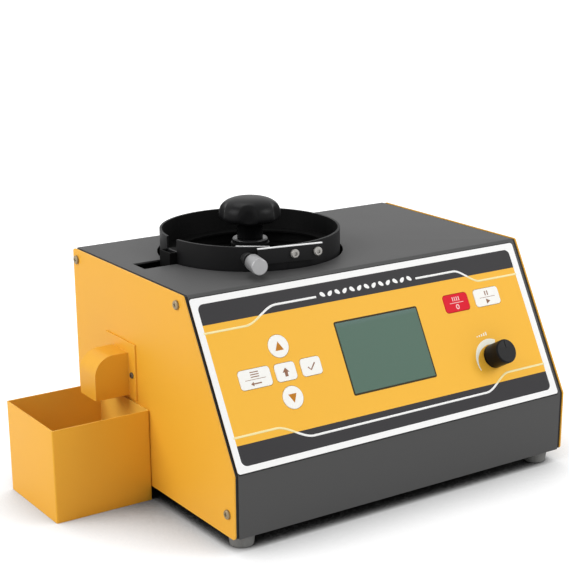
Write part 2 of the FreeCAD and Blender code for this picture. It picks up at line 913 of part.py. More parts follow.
def potentiometer_nut():
    nut = doc.addObject("Part::Prism", scratch("nut"))
    nut.Polygon = 6
    bind(nut, Circumradius="pot_nut_radius", Height="pot_nut_high")
    put(nut, dial_place("overlay_thick"), AXIS_TURNS["slope"])
    bore = rod(dial_place("overlay_thick - 1"), "pot_bush_radius + running_clear",
               "pot_nut_high + 2", "slope")
    return cut(nut, [bore], "potentiometer_nut")


def potentiometer_shaft():
    return rod(dial_place("-sheet_thick"), "pot_shaft_radius", "sheet_thick + pot_shaft_high", "slope",
               name="potentiometer_shaft")


def speed_knob():
    low = "overlay_thick + dial_gap"
    body = bevelled(rod(dial_place(low), "dial_radius", "dial_high", "slope"), TOP_EDGE, "dial_bevel")
    hollow = rod(dial_place("%s - 1" % low), "pot_nut_radius + 1",
                 "1 + pot_bush_high - dial_gap + 0.5", "slope")
    bore = rod(dial_place(low), "pot_shaft_radius + running_clear", "pot_shaft_high - (%s) + 0.3" % low,
               "slope")
    mark = slope_block(across("dial_across"), "dial_up + dial_radius * 0.6",
                       "%s + dial_high - dial_mark_deep" % low, ("dial_mark_wide", "dial_radius * 0.7", "past"))
    return cut(body, [hollow, bore, mark], "speed_knob")


def bowl_place(up="0"):
    return ("bowl_across", "bowl_back", up)


def feed_bowl():
    profile = [
        ("stud_radius + hole_clear", "bowl_low"),
        ("bowl_radius - bowl_corner", "bowl_low"),
        ("bowl_radius", "bowl_low + bowl_corner"),
        ("bowl_radius", "bowl_rim"),
        ("bowl_inside", "bowl_rim"),
        ("bowl_inside", "bowl_floor + 1"),
        ("bowl_inside - 1", "bowl_floor"),
        ("hub_radius", "bowl_floor + bowl_crown"),
        ("hub_radius", "hub_top"),
        ("stud_radius + hole_clear", "hub_top"),
    ]
    bowl = turned(profile, bowl_place())
    tools = [
        block(("outlet_x - notch_reach / 3", "bowl_back - outlet_half", "outlet_low"),
              ("notch_reach", "2 * outlet_half", "through")),
        around_block("strip_angle", "strip_out - strip_thick - strip_room",
                     "strip_left + strip_long - strip_seat", "strip_low - strip_under",
                     ("strip_thick + strip_room + strip_under", "strip_slot_long", "through")),
    ]
    for along in ("gate_screw_a", "gate_screw_b"):
        tools.append(around_rod("gate_angle", "bowl_radius - gate_bore_in", along, "gate_screw_up",
                                "gate_shank_radius + thread_clear", "through"))
    tools.append(thumb_rod("-thumb_bore_in", "thumb_shank + hole_clear", "2 * thumb_bore_in"))
    return cut(bowl, tools, "feed_bowl")


def spiral_track():
    """A left-handed ramp on the bowl's wall: it climbs clockwise, seen from above."""
    body = doc.addObject("PartDesign::Body", "spiral_track")
    low = "outlet_low - track_thick - track_pitch * track_turns"
    outer = "bowl_inside - running_clear"
    inner = "bowl_inside - track_wide"
    points = [(inner, low), (outer, low), (outer, "%s + track_thick" % low), (inner, "%s + track_thick" % low)]
    sketch = outline_sketch(body, "XZ_Plane", points)
    ramp = body.newObject("PartDesign::AdditiveHelix", "ramp")
    ramp.Profile = sketch
    ramp.ReferenceAxis = (sketch, ["V_Axis"])
    ramp.Mode = 0
    ramp.LeftHanded = True
    bind(ramp, Pitch="track_pitch", Height="track_pitch * track_turns")
    put(body, bowl_place(), ((0, 0, 1), "outlet_angle"))
    return body


def clamp_flange():
    ring = rod(bowl_place("hub_top"), "flange_radius", "flange_thick")
    dome = bevelled(ring, TOP_EDGE, "flange_bevel")
    return cut(dome, [rod(bowl_place("hub_top - 1"), "stud_radius + hole_clear", "flange_thick + 2")],
               "clamp_flange")


def clamp_knob():
    profile = [
        ("stud_radius + running_clear", "stem_low"),
        ("stem_radius", "stem_low"),
        ("stem_radius", "knob_under"),
        ("knob_radius - 2.5", "knob_edge - 3.5"),
        ("knob_radius", "knob_edge"),
        ("knob_brow_radius", "knob_brow"),
        ("knob_shoulder", "knob_top - knob_crown"),
        ("knob_flat", "knob_top"),
        ("0", "knob_top"),
        ("0", "stud_top + 1"),
        ("stud_radius + running_clear", "stud_top + 1"),
    ]
    body = turned(profile, bowl_place())
    tools = []
    out = "knob_radius + knob_scallop - knob_scallop_deep"
    for lobe in range(5):
        angle = "%d * 72 - knob_turned" % lobe
        tools.append(rod(around(angle, out, "0", "knob_under - 5"), "knob_scallop", "40"))
    return cut(body, tools, "clamp_knob")


def gate_plate():
    plate = around_block("gate_angle", "bowl_radius + running_clear", "gate_plate_left", "gate_plate_low",
                         ("gate_plate_thick", "gate_plate_long", "bowl_rim - gate_plate_low"))
    boss = around_rod("gate_angle", "bowl_radius - gate_boss_in", "gate_screw_b", "gate_screw_up",
                      "gate_head_radius", "gate_boss_in + gate_boss_lap")
    wall = rod(bowl_place("bowl_low"), "bowl_radius + running_clear", "through_bowl")
    holes = []
    for along in ("gate_screw_a", "gate_screw_b"):
        holes.append(around_rod("gate_angle", "bowl_radius - gate_bore_in", along, "gate_screw_up",
                                "gate_shank_radius + thread_clear", "through"))
    return cut(join([plate, boss]), [wall] + holes, "gate_plate")


def gate_screws():
    pieces = []
    for along in ("gate_screw_a", "gate_screw_b"):
        face = "bowl_radius + running_clear + gate_plate_thick"
        head = around_rod("gate_angle", face, along, "gate_screw_up", "gate_head_radius", "gate_head_high")
        dome = bevelled(head, TOP_EDGE, "small_bevel")
        wall_in = "sqrt(bowl_inside ^ 2 - %s ^ 2)" % along
        shank = around_rod("gate_angle", wall_in, along, "gate_screw_up", "gate_shank_radius",
                           "%s - (%s)" % (face, wall_in))
        socket = around_rod("gate_angle", "%s + gate_head_high * 0.5" % face, along, "gate_screw_up",
                            "gate_head_radius * 0.45", "gate_head_high")
        pieces.append(cut(join([dome, shank]), [socket]))
    return group(pieces, "gate_screws")


def gate_strip():
    return around_block("strip_angle", "strip_out - strip_thick", "strip_left", "strip_low",
                        ("strip_thick", "strip_long", "bowl_rim - strip_low"), "gate_strip")


def thumb_place(out):
    x = "bowl_across + bowl_radius * cos(thumb_wall_angle) + (%s) * cos(thumb_angle)" % out
    y = "bowl_back + bowl_radius * sin(thumb_wall_angle) + (%s) * sin(thumb_angle)" % out
    return (x, y, "thumb_up")


def thumb_rod(start, radius, length, name=None):
    piece = rod(thumb_place(start), radius, length, name=name)
    turn = FreeCAD.Rotation(V(0, 0, 1), val("thumb_angle")) * FreeCAD.Rotation(V(0, 1, 0), 90)
    piece.Placement = FreeCAD.Placement(piece.Placement.Base, turn)
    return piece


def gate_bush():
    ring = thumb_rod("-4", "bush_radius", "bush_long + 4")
    wall = rod(bowl_place("bowl_low"), "bowl_radius + running_clear", "through_bowl")
    bore = thumb_rod("-5", "thumb_shank + running_clear", "bush_long + 8")
    return cut(ring, [wall, bore], "gate_bush")


def gate_tip():
    pad = thumb_rod("-tip_reach + tip_ease", "tip_radius", "2 * tip_radius - tip_ease")
    pad = bevelled(pad, LOW_EDGE, "tip_bevel")
    pin = thumb_rod("-tip_reach + tip_radius", "tip_radius * 0.6", "tip_pin_long")
    return join([pad, pin], "gate_tip")


def gate_thumb_screw():
    back = "-tip_reach + tip_radius * 2 + 0.1"
    shank = thumb_rod(back, "thumb_shank", "thumb_start - (%s) + 0.5" % back)
    head = thumb_rod("thumb_start", "thumb_radius", "thumb_end - thumb_start")
    head = bevelled(head, BOTH_ENDS, "small_bevel")
    collar = thumb_rod("thumb_start - collar_long", "thumb_radius * 0.6", "collar_long + lap")
    bore = thumb_rod("-tip_reach", "tip_radius * 0.6 + running_clear", "tip_radius + 3.6")
    return cut(join([shank, collar, head]), [bore], "gate_thumb_screw")


def outlet_guide():
    outer = block(("guide_left", "bowl_back - guide_half", "guide_low"),
                  ("guide_out + 4", "2 * guide_half", "outlet_low - guide_low"))
    inner = block(("guide_left + guide_wall", "bowl_back - guide_half + guide_wall", "guide_low - 1"),
                  ("guide_out + 8", "2 * guide_half - 2 * guide_wall", "outlet_low - guide_low + 2"))
    wall = rod(bowl_place("guide_low - 5"), "bowl_radius + running_clear", "through_bowl")
    return cut(outer, [inner, wall], "outlet_guide")


def sensor_channel():
    outer = block(("channel_left", "bowl_back - channel_half", "channel_low"),
                  ("channel_wide", "2 * channel_half", "channel_top - channel_low"))
    web = block(("-half_case + side_thick", "bowl_back - channel_wall / 2", "channel_low + 5"),
                ("channel_left + half_case - side_thick + channel_wall", "channel_wall", "20"))
    foot = block(("-half_case + side_thick", "bowl_back - channel_half", "channel_low + 5"),
                 ("channel_wall", "2 * channel_half", "20"))
    inner = block(("channel_left + channel_wall", "bowl_back - channel_half + channel_wall", "channel_low - 1"),
                  ("channel_wide - 2 * channel_wall", "2 * channel_half - 2 * channel_wall",
                   "channel_top - channel_low + 2"))
    window = rod(("channel_left + channel_wide / 2", "bowl_back - channel_half - 5", "sensor_up"),
                 "sensor_window", "2 * channel_half + 10", "+y")
    return cut(join([outer, web, foot]), [inner, window], "sensor_channel")


def sensor_half(name, start):
    case = block(("channel_left + channel_wide / 2 - sensor_size / 2", start, "sensor_up - sensor_size / 2"),
                 ("sensor_size", "sensor_thick", "sensor_size"))
    return rounded(case, UPRIGHT_EDGES, "sensor_corner", name)


def inner_chute():
    wall = "channel_wall"
    right = "channel_left + channel_wide"
    outer = [
        (right, "channel_low"),
        ("channel_left", "channel_low"),
        ("-half_case + side_thick", "chute_mouth_low + chute_mouth_high"),
        ("-half_case", "chute_mouth_low + chute_mouth_high"),
        ("-half_case", "chute_mouth_low"),
        ("-half_case + side_thick", "chute_mouth_low"),
        (right, "chute_mouth_low + chute_drop"),
    ]
    inner = [
        ("%s - %s" % (right, wall), "channel_low + 1"),
        ("channel_left + %s" % wall, "channel_low + 1"),
        ("channel_left + %s" % wall, "channel_low - %s" % wall),
        ("-half_case + side_thick", "chute_mouth_low + chute_mouth_high - %s" % wall),
        ("-half_case - 1", "chute_mouth_low + chute_mouth_high - %s" % wall),
        ("-half_case - 1", "chute_mouth_low + %s" % wall),
        ("-half_case + side_thick", "chute_mouth_low + %s" % wall),
        ("%s - %s" % (right, wall), "chute_mouth_low + chute_drop + %s" % wall),
    ]
    body = prism("XZ_Plane", outer, "chute_wide", ("0", "chute_front + chute_wide", "0"))
    hollow = prism("XZ_Plane", inner, "chute_wide - 2 * channel_wall",
                   ("0", "chute_front + chute_wide - channel_wall", "0"))
    return cut(body, [hollow], "inner_chute")


def outlet_hood():
    flange_in = "-half_case - hood_flange_thick"
    shell = block(("hood_left", "hood_front", "hood_low"), ("hood_out", "hood_wide", "hood_high"))
    shell = rounded(shell, (2,), "hood_radius")
    hollow = block(("hood_left + hood_wall", "hood_front + hood_wall", "hood_low - 10"),
                   ("hood_out + 10", "hood_wide - 2 * hood_wall", "hood_high + 10 - hood_wall"))
    hollow = rounded(hollow, (2,), "hood_radius - hood_wall")
    plate = block((flange_in, "hood_flange_front", "hood_flange_low"),
                  ("hood_flange_thick", "hood_flange_wide", "hood_flange_high"))
    mouth = block(("%s - 2" % flange_in, "hood_front + hood_wall", "hood_low + 2"),
                  ("hood_flange_thick + 4", "hood_wide - 2 * hood_wall", "hood_high - 2 - hood_wall"))
    below = block(("hood_left", "hood_front", "hood_low - through"), ("hood_out", "hood_wide", "through"))
    beyond = block((flange_in, "hood_front - 5", "hood_low - through"),
                   ("through", "hood_wide + 10", "through_bowl + through"))
    hollow = cut(hollow, [beyond])
    tools = [mouth]
    for y in ("hood_flange_front + hood_screw_inset",
              "hood_flange_front + hood_flange_wide - hood_screw_inset"):
        tools.append(rod(("%s - 1" % flange_in, y, "hood_flange_low + hood_screw_up"),
                         "hood_shank_radius + hole_clear", "hood_flange_thick + 2", "+x"))
    walls = cut(shell, [hollow, below])
    return cut(join([walls, plate]), tools, "outlet_hood")


def hood_screws():
    pieces = []
    for y in ("hood_flange_front + hood_screw_inset",
              "hood_flange_front + hood_flange_wide - hood_screw_inset"):
        pieces.append(screw(("-half_case - hood_flange_thick", y, "hood_flange_low + hood_screw_up"), "-x",
                            "hood_head_radius", "hood_head_high", "hood_shank_radius", "hood_flange_thick"))
    return group(pieces, "hood_screws")


def collecting_box():
    left = "-half_case - box_gap - box_long"
    outer = block((left, "box_front", "-foot_high"), ("box_long", "box_wide", "box_high"))
    outer = rounded(outer, UPRIGHT_EDGES, "box_corner")
    inner = block(("%s + box_wall" % left, "box_front + box_wall", "-foot_high + box_wall"),
                  ("box_long - 2 * box_wall", "box_wide - 2 * box_wall", "box_high"))
    return cut(outer, [inner], "collecting_box")


def drive_isolators():
    pieces = []
    for step in range(3):
        place = around("isolator_start + %d * 120" % step, "isolator_ring", "0", "sheet_thick")
        pieces.append(rod(place, "isolator_radius", "isolator_high"))
    return group(pieces, "drive_isolators")


def drive_base():
    disc = rod(bowl_place("base_low"), "base_radius", "base_thick")
    return bevelled(disc, BOTH_ENDS, "base_bevel", "drive_base")


def core_block(wide, low, high, shift="0", deep="core_deep"):
    return block(("bowl_across + (%s) - (%s) / 2" % (shift, wide), "bowl_back - %s / 2" % deep, low),
                 (wide, deep, "(%s) - (%s)" % (high, low)))


def magnet_core():
    side = "(core_wide - core_leg) / 2"
    return join([
        core_block("core_wide", "base_top", "base_top + core_yoke"),
        core_block("core_middle", "base_top + core_yoke", "core_top"),
        core_block("core_leg", "base_top + core_yoke", "core_top", side),
        core_block("core_leg", "base_top + core_yoke", "core_top", "-" + side),
    ], "magnet_core")


def magnet_coil():
    low = "base_top + core_yoke + coil_lift"
    outer = core_block("coil_wide", low, "%s + coil_high" % low, deep="coil_deep")
    outer = rounded(outer, UPRIGHT_EDGES, "coil_corner")
    inner = core_block("core_middle + 2 * coil_clear", "%s - 1" % low, "%s + coil_high + 1" % low,
                       deep="(core_deep + 2 * coil_clear)")
    return cut(outer, [inner], "magnet_coil")


def armature():
    return core_block("core_wide", "armature_low", "armature_top")


def bowl_carrier():
    profile = [
        ("0", "armature_top"),
        ("carrier_neck", "armature_top"),
        ("carrier_neck", "carrier_low - 6"),
        ("carrier_neck + 6", "carrier_low"),
        ("carrier_radius", "carrier_low"),
        ("carrier_radius", "carrier_low + carrier_thick"),
        ("carrier_seat", "carrier_low + carrier_thick"),
        ("carrier_seat", "bowl_low"),
        ("stud_radius + running_clear", "bowl_low"),
        ("stud_radius + running_clear", "stud_low"),
        ("0", "stud_low"),
    ]
    return turned(profile, bowl_place(), "bowl_carrier")


def leaf_springs():
    """Three leaning leaves between the base and the underside of the carrier."""
    pieces = []
    top = "carrier_low - spring_gap"
    points = [
        ("-spring_lean / 2 - spring_thick / 2", "base_top"),
        ("-spring_lean / 2 + spring_thick / 2", "base_top"),
        ("spring_lean / 2 + spring_thick / 2", top),
        ("spring_lean / 2 - spring_thick / 2", top),
    ]
    for step in range(3):
        angle = "spring_start + %d * 120" % step
        place = around(angle, "spring_ring - spring_wide / 2", "0", "0")
        pieces.append(prism("YZ_Plane", points, "spring_wide", place, ((0, 0, 1), angle)))
    return group(pieces, "leaf_springs")


def clamp_stud():
    stud = rod(bowl_place("stud_low"), "stud_radius", "stud_top - stud_low")
    return bevelled(stud, TOP_EDGE, "small_bevel", "clamp_stud")


def power_inlet():
    x = "inlet_across"
    z = "inlet_up"

    def centred(wide, high, start, deep):
        return block(("%s - (%s) / 2" % (x, wide), start, "%s - (%s) / 2" % (z, high)), (wide, deep, high))

    flange = block(("%s - inlet_flange_wide / 2" % x, "case_depth", "%s - inlet_flange_high / 2" % z),
                   ("inlet_flange_wide", "inlet_proud", "inlet_flange_high"))
    body = centred("inlet_wide", "inlet_high", "case_depth - inlet_depth", "inlet_depth")
    face = "case_depth + inlet_proud"
    cavity = centred("inlet_cavity_wide", "inlet_cavity_high", "%s - inlet_cavity_depth" % face,
                     "inlet_cavity_depth + 1")
    shell = cut(join([flange, body]), [cavity])
    pins = []
    for shift, rise in (("-pin_spread", "-1"), ("0", "2"), ("pin_spread", "-1")):
        pins.append(block(("%s + (%s) - pin_wide / 2" % (x, shift), "%s - inlet_cavity_depth" % face,
                           "%s + %s - pin_high / 2" % (z, rise)), ("pin_wide", "pin_long", "pin_high")))
    return join([shell] + pins, "power_inlet")


def switch_frame():
    def centred(wide, high, start, deep):
        return block(("switch_across - (%s) / 2" % wide, start, "inlet_up - (%s) / 2" % high),
                     (wide, deep, high))

    flange = centred("switch_flange_wide", "switch_flange_high", "case_depth", "switch_proud")
    body = centred("switch_body_wide", "switch_body_high", "case_depth - switch_depth", "switch_depth")
    cavity = centred("switch_cavity_wide", "switch_cavity_high", "case_depth - switch_depth + 1",
                     "switch_depth + switch_proud")
    hole = rod(("switch_across - through / 2", "pivot_y", "inlet_up"), "rocker_pin_radius + running_clear",
               "through", "+x")
    return cut(join([flange, body]), [cavity, hole], "switch_frame")


def power_rocker():
    wide = "switch_cavity_wide - 2 * rocker_side_gap"
    points = [
        ("-rocker_root", "-rocker_root_half"),
        ("rocker_end", "-rocker_half"),
        ("rocker_valley", "0"),
        ("rocker_end", "rocker_half"),
        ("-rocker_root", "rocker_root_half"),
    ]
    cap = prism("YZ_Plane", points, wide, ("switch_across - (%s) / 2" % wide, "pivot_y", "inlet_up"),
                ((-1, 0, 0), "rocker_tilt"))
    pin = rod(("switch_across - switch_body_wide / 2", "pivot_y", "inlet_up"), "rocker_pin_radius",
              "switch_body_wide", "+x")
    return join([cap, pin], "power_rocker")


def power_supply():
    core = block(("supply_across", "supply_back", "sheet_thick"), ("supply_wide", "supply_deep", "supply_high"))
    tools = []
    notch = "supply_notch + past"
    for x in ("supply_across - past", "supply_across + supply_wide - supply_notch"):
        for y in ("supply_back - past", "supply_back + supply_deep - supply_notch"):
            tools.append(block((x, y, "sheet_thick + supply_foot"), (notch, notch, "supply_high")))
    return cut(core, tools, "power_supply")


# What stands on the control board, in steps: across, back, wide, deep and high.
CONTROL_PARTS = [(10, 10, 12, 12, 1.5), (30, 9, 15, 6, 4.5), (10, 31, 7, 14, 2.5), (26, 30, 13, 17, 8),
                 (46, 25, 5, 22, 6)]


def control_board():
    low = "sheet_thick + standoff_high"
    top = "%s + board_thick" % low
    parts = [block(("control_across", "control_back", low), ("control_wide", "control_deep", "board_thick"))]
    for row in CONTROL_PARTS:
        x, y, wide, deep, high = ("%s * control_step" % steps for steps in row)
        parts.append(block(("control_across + " + x, "control_back + " + y, top), (wide, deep, high)))
    return join(parts, "control_board")


NODES = []
for side_name, side_sign in SIDES:
    NODES.append((side_name + "_side_panel", side_panel(side_name + "_side_panel", side_sign)))
    NODES.append((side_name + "_edge_seal", edge_seal(side_name + "_edge_seal", side_sign)))
for maker in (top_front_cover, base_tray, rear_panel, corner_blocks, case_screws, feet, foot_screws,
              front_overlay, lcd_lens, lcd_module, panel_board, key_switches, board_standoffs,
              speed_potentiometer, potentiometer_nut, potentiometer_shaft, speed_knob,
              feed_bowl, spiral_track, clamp_flange, clamp_knob, gate_plate, gate_screws, gate_strip,
              gate_bush, gate_tip, gate_thumb_screw, outlet_guide, sensor_channel, inner_chute,
              outlet_hood, hood_screws, collecting_box, drive_isolators, drive_base, magnet_core,
              magnet_coil, armature, bowl_carrier, leaf_springs, clamp_stud, power_inlet,
              switch_frame, power_rocker, power_supply, control_board):
    NODES.append((maker.__name__, maker()))
for key_name in KEYS:
    NODES.append((key_name, key(key_name)))
NODES.append(("sensor_emitter", sensor_half("sensor_emitter", "bowl_back - channel_half - sensor_thick")))
NODES.append(("sensor_receiver", sensor_half("sensor_receiver", "bowl_back + channel_half")))

doc.recompute()
for thing in doc.Objects:
    if "Invalid" in thing.State or "Error" in thing.State:
        raise RuntimeError("%s (%s) is not made: %s" % (thing.Name, thing.Label, thing.State))
for node, thing in NODES:
    thing.Label = node
    if thing.Shape.isNull() or not thing.Shape.isValid():
        raise RuntimeError(node + " has no valid shape")

os.makedirs("parts", exist_ok=True)
for node, thing in NODES:
    thing.Shape.exportStep("parts/%s.step" % node)
print(len(NODES), "nodes written")
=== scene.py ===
import json
import math

import bmesh
import bpy
from bpy.props import FloatProperty, FloatVectorProperty, IntProperty, PointerProperty
from mathutils import Matrix, Vector

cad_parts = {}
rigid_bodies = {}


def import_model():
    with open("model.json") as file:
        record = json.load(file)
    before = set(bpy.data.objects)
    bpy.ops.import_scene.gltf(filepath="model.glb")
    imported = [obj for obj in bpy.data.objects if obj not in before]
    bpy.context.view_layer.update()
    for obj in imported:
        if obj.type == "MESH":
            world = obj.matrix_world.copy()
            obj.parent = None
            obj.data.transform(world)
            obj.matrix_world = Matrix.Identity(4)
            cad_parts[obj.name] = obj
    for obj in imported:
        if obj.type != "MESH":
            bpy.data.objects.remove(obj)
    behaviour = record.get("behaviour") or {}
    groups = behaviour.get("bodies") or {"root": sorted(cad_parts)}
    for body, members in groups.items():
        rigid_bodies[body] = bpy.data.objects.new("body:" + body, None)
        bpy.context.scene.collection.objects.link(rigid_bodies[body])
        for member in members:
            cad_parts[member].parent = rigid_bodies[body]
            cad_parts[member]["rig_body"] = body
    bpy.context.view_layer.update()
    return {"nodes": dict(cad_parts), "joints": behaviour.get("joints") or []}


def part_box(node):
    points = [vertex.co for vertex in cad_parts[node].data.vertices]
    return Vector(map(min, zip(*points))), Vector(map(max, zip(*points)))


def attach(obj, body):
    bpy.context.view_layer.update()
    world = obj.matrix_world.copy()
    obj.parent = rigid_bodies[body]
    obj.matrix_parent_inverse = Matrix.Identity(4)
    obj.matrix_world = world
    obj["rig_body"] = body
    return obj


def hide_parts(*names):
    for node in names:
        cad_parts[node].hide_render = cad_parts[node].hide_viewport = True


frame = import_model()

# Bench seed counter: painted sheet-metal console, printed key panel, black feed bowl
# with its gate and clamp, outlet hood and collecting box. Everything is in metres.

bl_info = {
    "name": "Seed counter finish",
    "version": (1, 0, 0),
    "blender": (4, 5, 0),
    "location": "3D View > Sidebar > Seed counter",
    "description": "Dresses the bench seed counter: paint, printed panel, bowl, gate and outlet",
    "category": "Object",
}

MM = 0.001
NODES = frame["nodes"]


def tone(red, green, blue):
    """A screen colour (0 to 255) as the renderer's own values."""
    def line(level):
        share = level / 255
        return share / 12.92 if share <= 0.04045 else ((share + 0.055) / 1.055) ** 2.4
    return (line(red), line(green), line(blue))


def colour(name, note, shade):
    return FloatVectorProperty(name=name, description=note, default=shade, subtype="COLOR",
                               size=3, min=0, max=1)


def length(name, note, millimetres):
    return FloatProperty(name=name, description=note, subtype="DISTANCE", unit="LENGTH",
                         default=millimetres * MM, precision=5)


def joint(name):
    return next(row for row in frame["joints"] if row["name"] == name)


# The slope panel's own directions, from the speed control's axis.
OUT = Vector(joint("speed_turn")["axis"])
UP = Vector((0, OUT.z, -OUT.y))
DIAL = Vector(joint("speed_turn")["pos_m"])
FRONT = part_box("top_front_cover")[0].y
MIDDLE = (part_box("left_side_panel")[0].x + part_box("right_side_panel")[1].x) / 2
FOOT = DIAL - UP * ((DIAL.y - FRONT) / UP.y)


def on_slope(across, up, out):
    """A place on the slope in millimetres: across from the case's middle, up the slope, out of it."""
    start = Vector((MIDDLE, FOOT.y, FOOT.z))
    return start + Vector((across * MM, 0, 0)) + UP * (up * MM) + OUT * (out * MM)


def across_and_up(place):
    """The slope's own millimetres of a point, across and up."""
    local = place - Vector((MIDDLE, FOOT.y, FOOT.z))
    return local.x / MM, local.dot(UP) / MM


def slope_frame(across, up, out):
    """The move that lays a flat mesh on the slope."""
    turn = Matrix((Vector((1, 0, 0)), UP, OUT)).transposed().to_4x4()
    return Matrix.Translation(on_slope(across, up, out)) @ turn


class SeedCounterSizes(bpy.types.PropertyGroup):
    edge_panel: length("Panel edge", "Rounding of the side panels' edges", 0.45)
    edge_fine: length("Fine edge", "Rounding of small parts' edges", 0.25)
    edge_key: length("Key edge", "Rounding of the key caps", 0.4)
    edge_rim: length("Rim edge", "Rounding of the bowl's rim and wall", 0.55)
    line_wide: length("Line width", "Width of the printed lines", 1.75)
    ink_thick: length("Ink thickness", "Height of one printed layer", 0.03)
    knob_radius: length("Clamp knob radius", "Radius over the lobes of the clamp knob", 26.5)
    scallop_radius: length("Scallop radius", "Radius of the finger scallops in the clamp knob", 10)
    scallop_deep: length("Scallop depth", "Depth of the finger scallops", 4.8)
    scallops: IntProperty(name="Scallops", description="Number of finger scallops",
                          default=5, min=3, max=8)
    seeds: IntProperty(name="Seeds", description="Seed marks in the title place",
                       default=13, min=3, max=25)
    seed_step: length("Seed step", "Distance between two seed marks", 7.4)


class SeedCounterColours(bpy.types.PropertyGroup):
    panel_yellow: colour("Panel yellow", "Powder coat of panels, hood and box", tone(233, 171, 50))
    film_yellow: colour("Film yellow", "Printed film of the key panel", tone(252, 190, 58))
    case_grey: colour("Case grey", "Powder coat of the cover", tone(75, 75, 75))
    ink_dark: colour("Dark ink", "Bands of the key panel", tone(54, 53, 55))
    ink_white: colour("White ink", "Border and lines", tone(254, 254, 253))
    ink_brown: colour("Brown ink", "Marks on the white keys", tone(150, 108, 84))
    ink_ochre: colour("Ochre ink", "Arrows on the round keys", tone(196, 126, 32))
    key_white: colour("Key white", "White key caps", tone(254, 253, 248))
    key_red: colour("Key red", "Red key cap", tone(226, 16, 44))
    screen_green: colour("Screen green", "Display at rest", tone(84, 112, 98))
    bowl_black: colour("Bowl black", "Moulded bowl", tone(19, 19, 20))
    plastic_black: colour("Black plastic", "Knobs, inlet and switch", tone(18, 18, 19))
    bright_metal: colour("Bright metal", "Screws", tone(158, 156, 152))


def sizes():
    return bpy.context.scene.seed_counter_sizes


def colours():
    return bpy.context.scene.seed_counter_colours


# Shader nodes


def shader_group(name, inputs, outputs):
    """A group of number sockets: its inputs with their defaults, its outputs by name."""
    tree = bpy.data.node_groups.new(name, "ShaderNodeTree")
    for label, value in inputs:
        socket = tree.interface.new_socket(name=label, in_out="INPUT", socket_type="NodeSocketFloat")
        socket.default_value = value
    for label in outputs:
        tree.interface.new_socket(name=label, in_out="OUTPUT", socket_type="NodeSocketFloat")
    return tree, tree.nodes.new("NodeGroupInput").outputs, tree.nodes.new("NodeGroupOutput").inputs


def add(tree, kind, links=(), **settings):
    """A new node with its settings, and inputs linked or set by name or number."""
    node = tree.nodes.new(kind)
    for name, value in settings.items():
        setattr(node, name, value)
    for name, source in dict(links).items():
        if isinstance(source, bpy.types.NodeSocket):
            tree.links.new(source, node.inputs[name])
        else:
            node.inputs[name].default_value = source
    return node


def object_place(tree):
    """The shaded point in metres, in the CAD frame at rest."""
    return add(tree, "ShaderNodeTexCoord").outputs["Object"]


def object_axes(tree):
    return add(tree, "ShaderNodeSeparateXYZ", {0: object_place(tree)}).outputs


def noise(tree, vector, scale, detail, rough=0.5):
    return add(tree, "ShaderNodeTexNoise", {
        "Vector": vector, "Scale": scale, "Detail": detail, "Roughness": rough}).outputs["Fac"]


def ramp(tree, value, low, high, to_low=0.0, to_high=1.0):
    return add(tree, "ShaderNodeMapRange", {
        "Value": value, "From Min": low, "From Max": high, "To Min": to_low, "To Max": to_high},
        clamp=True).outputs["Result"]


def sums(tree, kind, one, two):
    return add(tree, "ShaderNodeMath", {0: one, 1: two}, operation=kind).outputs[0]


def product(tree, first, *others):
    for other in others:
        first = sums(tree, "MULTIPLY", first, other)
    return first


def blend_colours(tree, share, one, two):
    return add(tree, "ShaderNodeMix", {0: share, 6: one, 7: two}, data_type="RGBA").outputs[2]


COARSE_SHARE = 0.27
RUB_RADIUS = 0.5 * MM
DUST_CLOUD = 22.0


def build_grain():
    """Mottle and fine grain of a coated or moulded surface."""
    tree, given, wanted = shader_group(
        "surface_grain", (("Grain Scale", 900.0), ("Grain Depth", 0.5), ("Mottle Scale", 14.0)),
        ("Mottle", "Height"))
    place = object_place(tree)
    mottle = ramp(tree, noise(tree, place, given["Mottle Scale"], 4.0, 0.6), 0.3, 0.7)
    fine = noise(tree, place, given["Grain Scale"], 2.0)
    coarse = noise(tree, place, product(tree, given["Grain Scale"], COARSE_SHARE), 2.0)
    both = sums(tree, "ADD", product(tree, fine, 0.6), product(tree, coarse, 0.4))
    tree.links.new(mottle, wanted["Mottle"])
    tree.links.new(product(tree, both, given["Grain Depth"]), wanted["Height"])
    return tree


def build_wear_and_highlight():
    """Rubbed edges and a painted edge highlight in one mask: where a rounded normal leaves the face's own,
    broken up by noise.
    """
    tree, given, wanted = shader_group(
        "rubbed_edges", (("Amount", 0.5), ("Break Scale", 160.0)), ("Mask",))
    straight = add(tree, "ShaderNodeNewGeometry").outputs["Normal"]
    rounded = add(tree, "ShaderNodeBevel", {"Radius": RUB_RADIUS}, samples=4).outputs["Normal"]
    bend = add(tree, "ShaderNodeVectorMath", {0: straight, 1: rounded}, operation="DOT_PRODUCT")
    edge = sums(tree, "SUBTRACT", 1.0, ramp(tree, bend.outputs["Value"], 0.86, 0.98))
    broken = ramp(tree, noise(tree, object_place(tree), given["Break Scale"], 4.0, 0.65), 0.35, 0.65)
    tree.links.new(product(tree, edge, broken, given["Amount"]), wanted["Mask"])
    return tree


def build_dust():
    """Faint dust that lies on faces that look up."""
    tree, given, wanted = shader_group("fine_dust", (("Amount", 0.1),), ("Mask",))
    normal = add(tree, "ShaderNodeNewGeometry").outputs["Normal"]
    level = ramp(tree, add(tree, "ShaderNodeSeparateXYZ", {0: normal}).outputs["Z"], 0.6, 1.0)
    cloud = ramp(tree, noise(tree, object_place(tree), DUST_CLOUD, 6.0, 0.7), 0.4, 0.75)
    tree.links.new(product(tree, level, cloud, given["Amount"]), wanted["Mask"])
    return tree


GROUPS = {}
MATERIALS = {}
DUST_SHADE = tone(190, 184, 172)


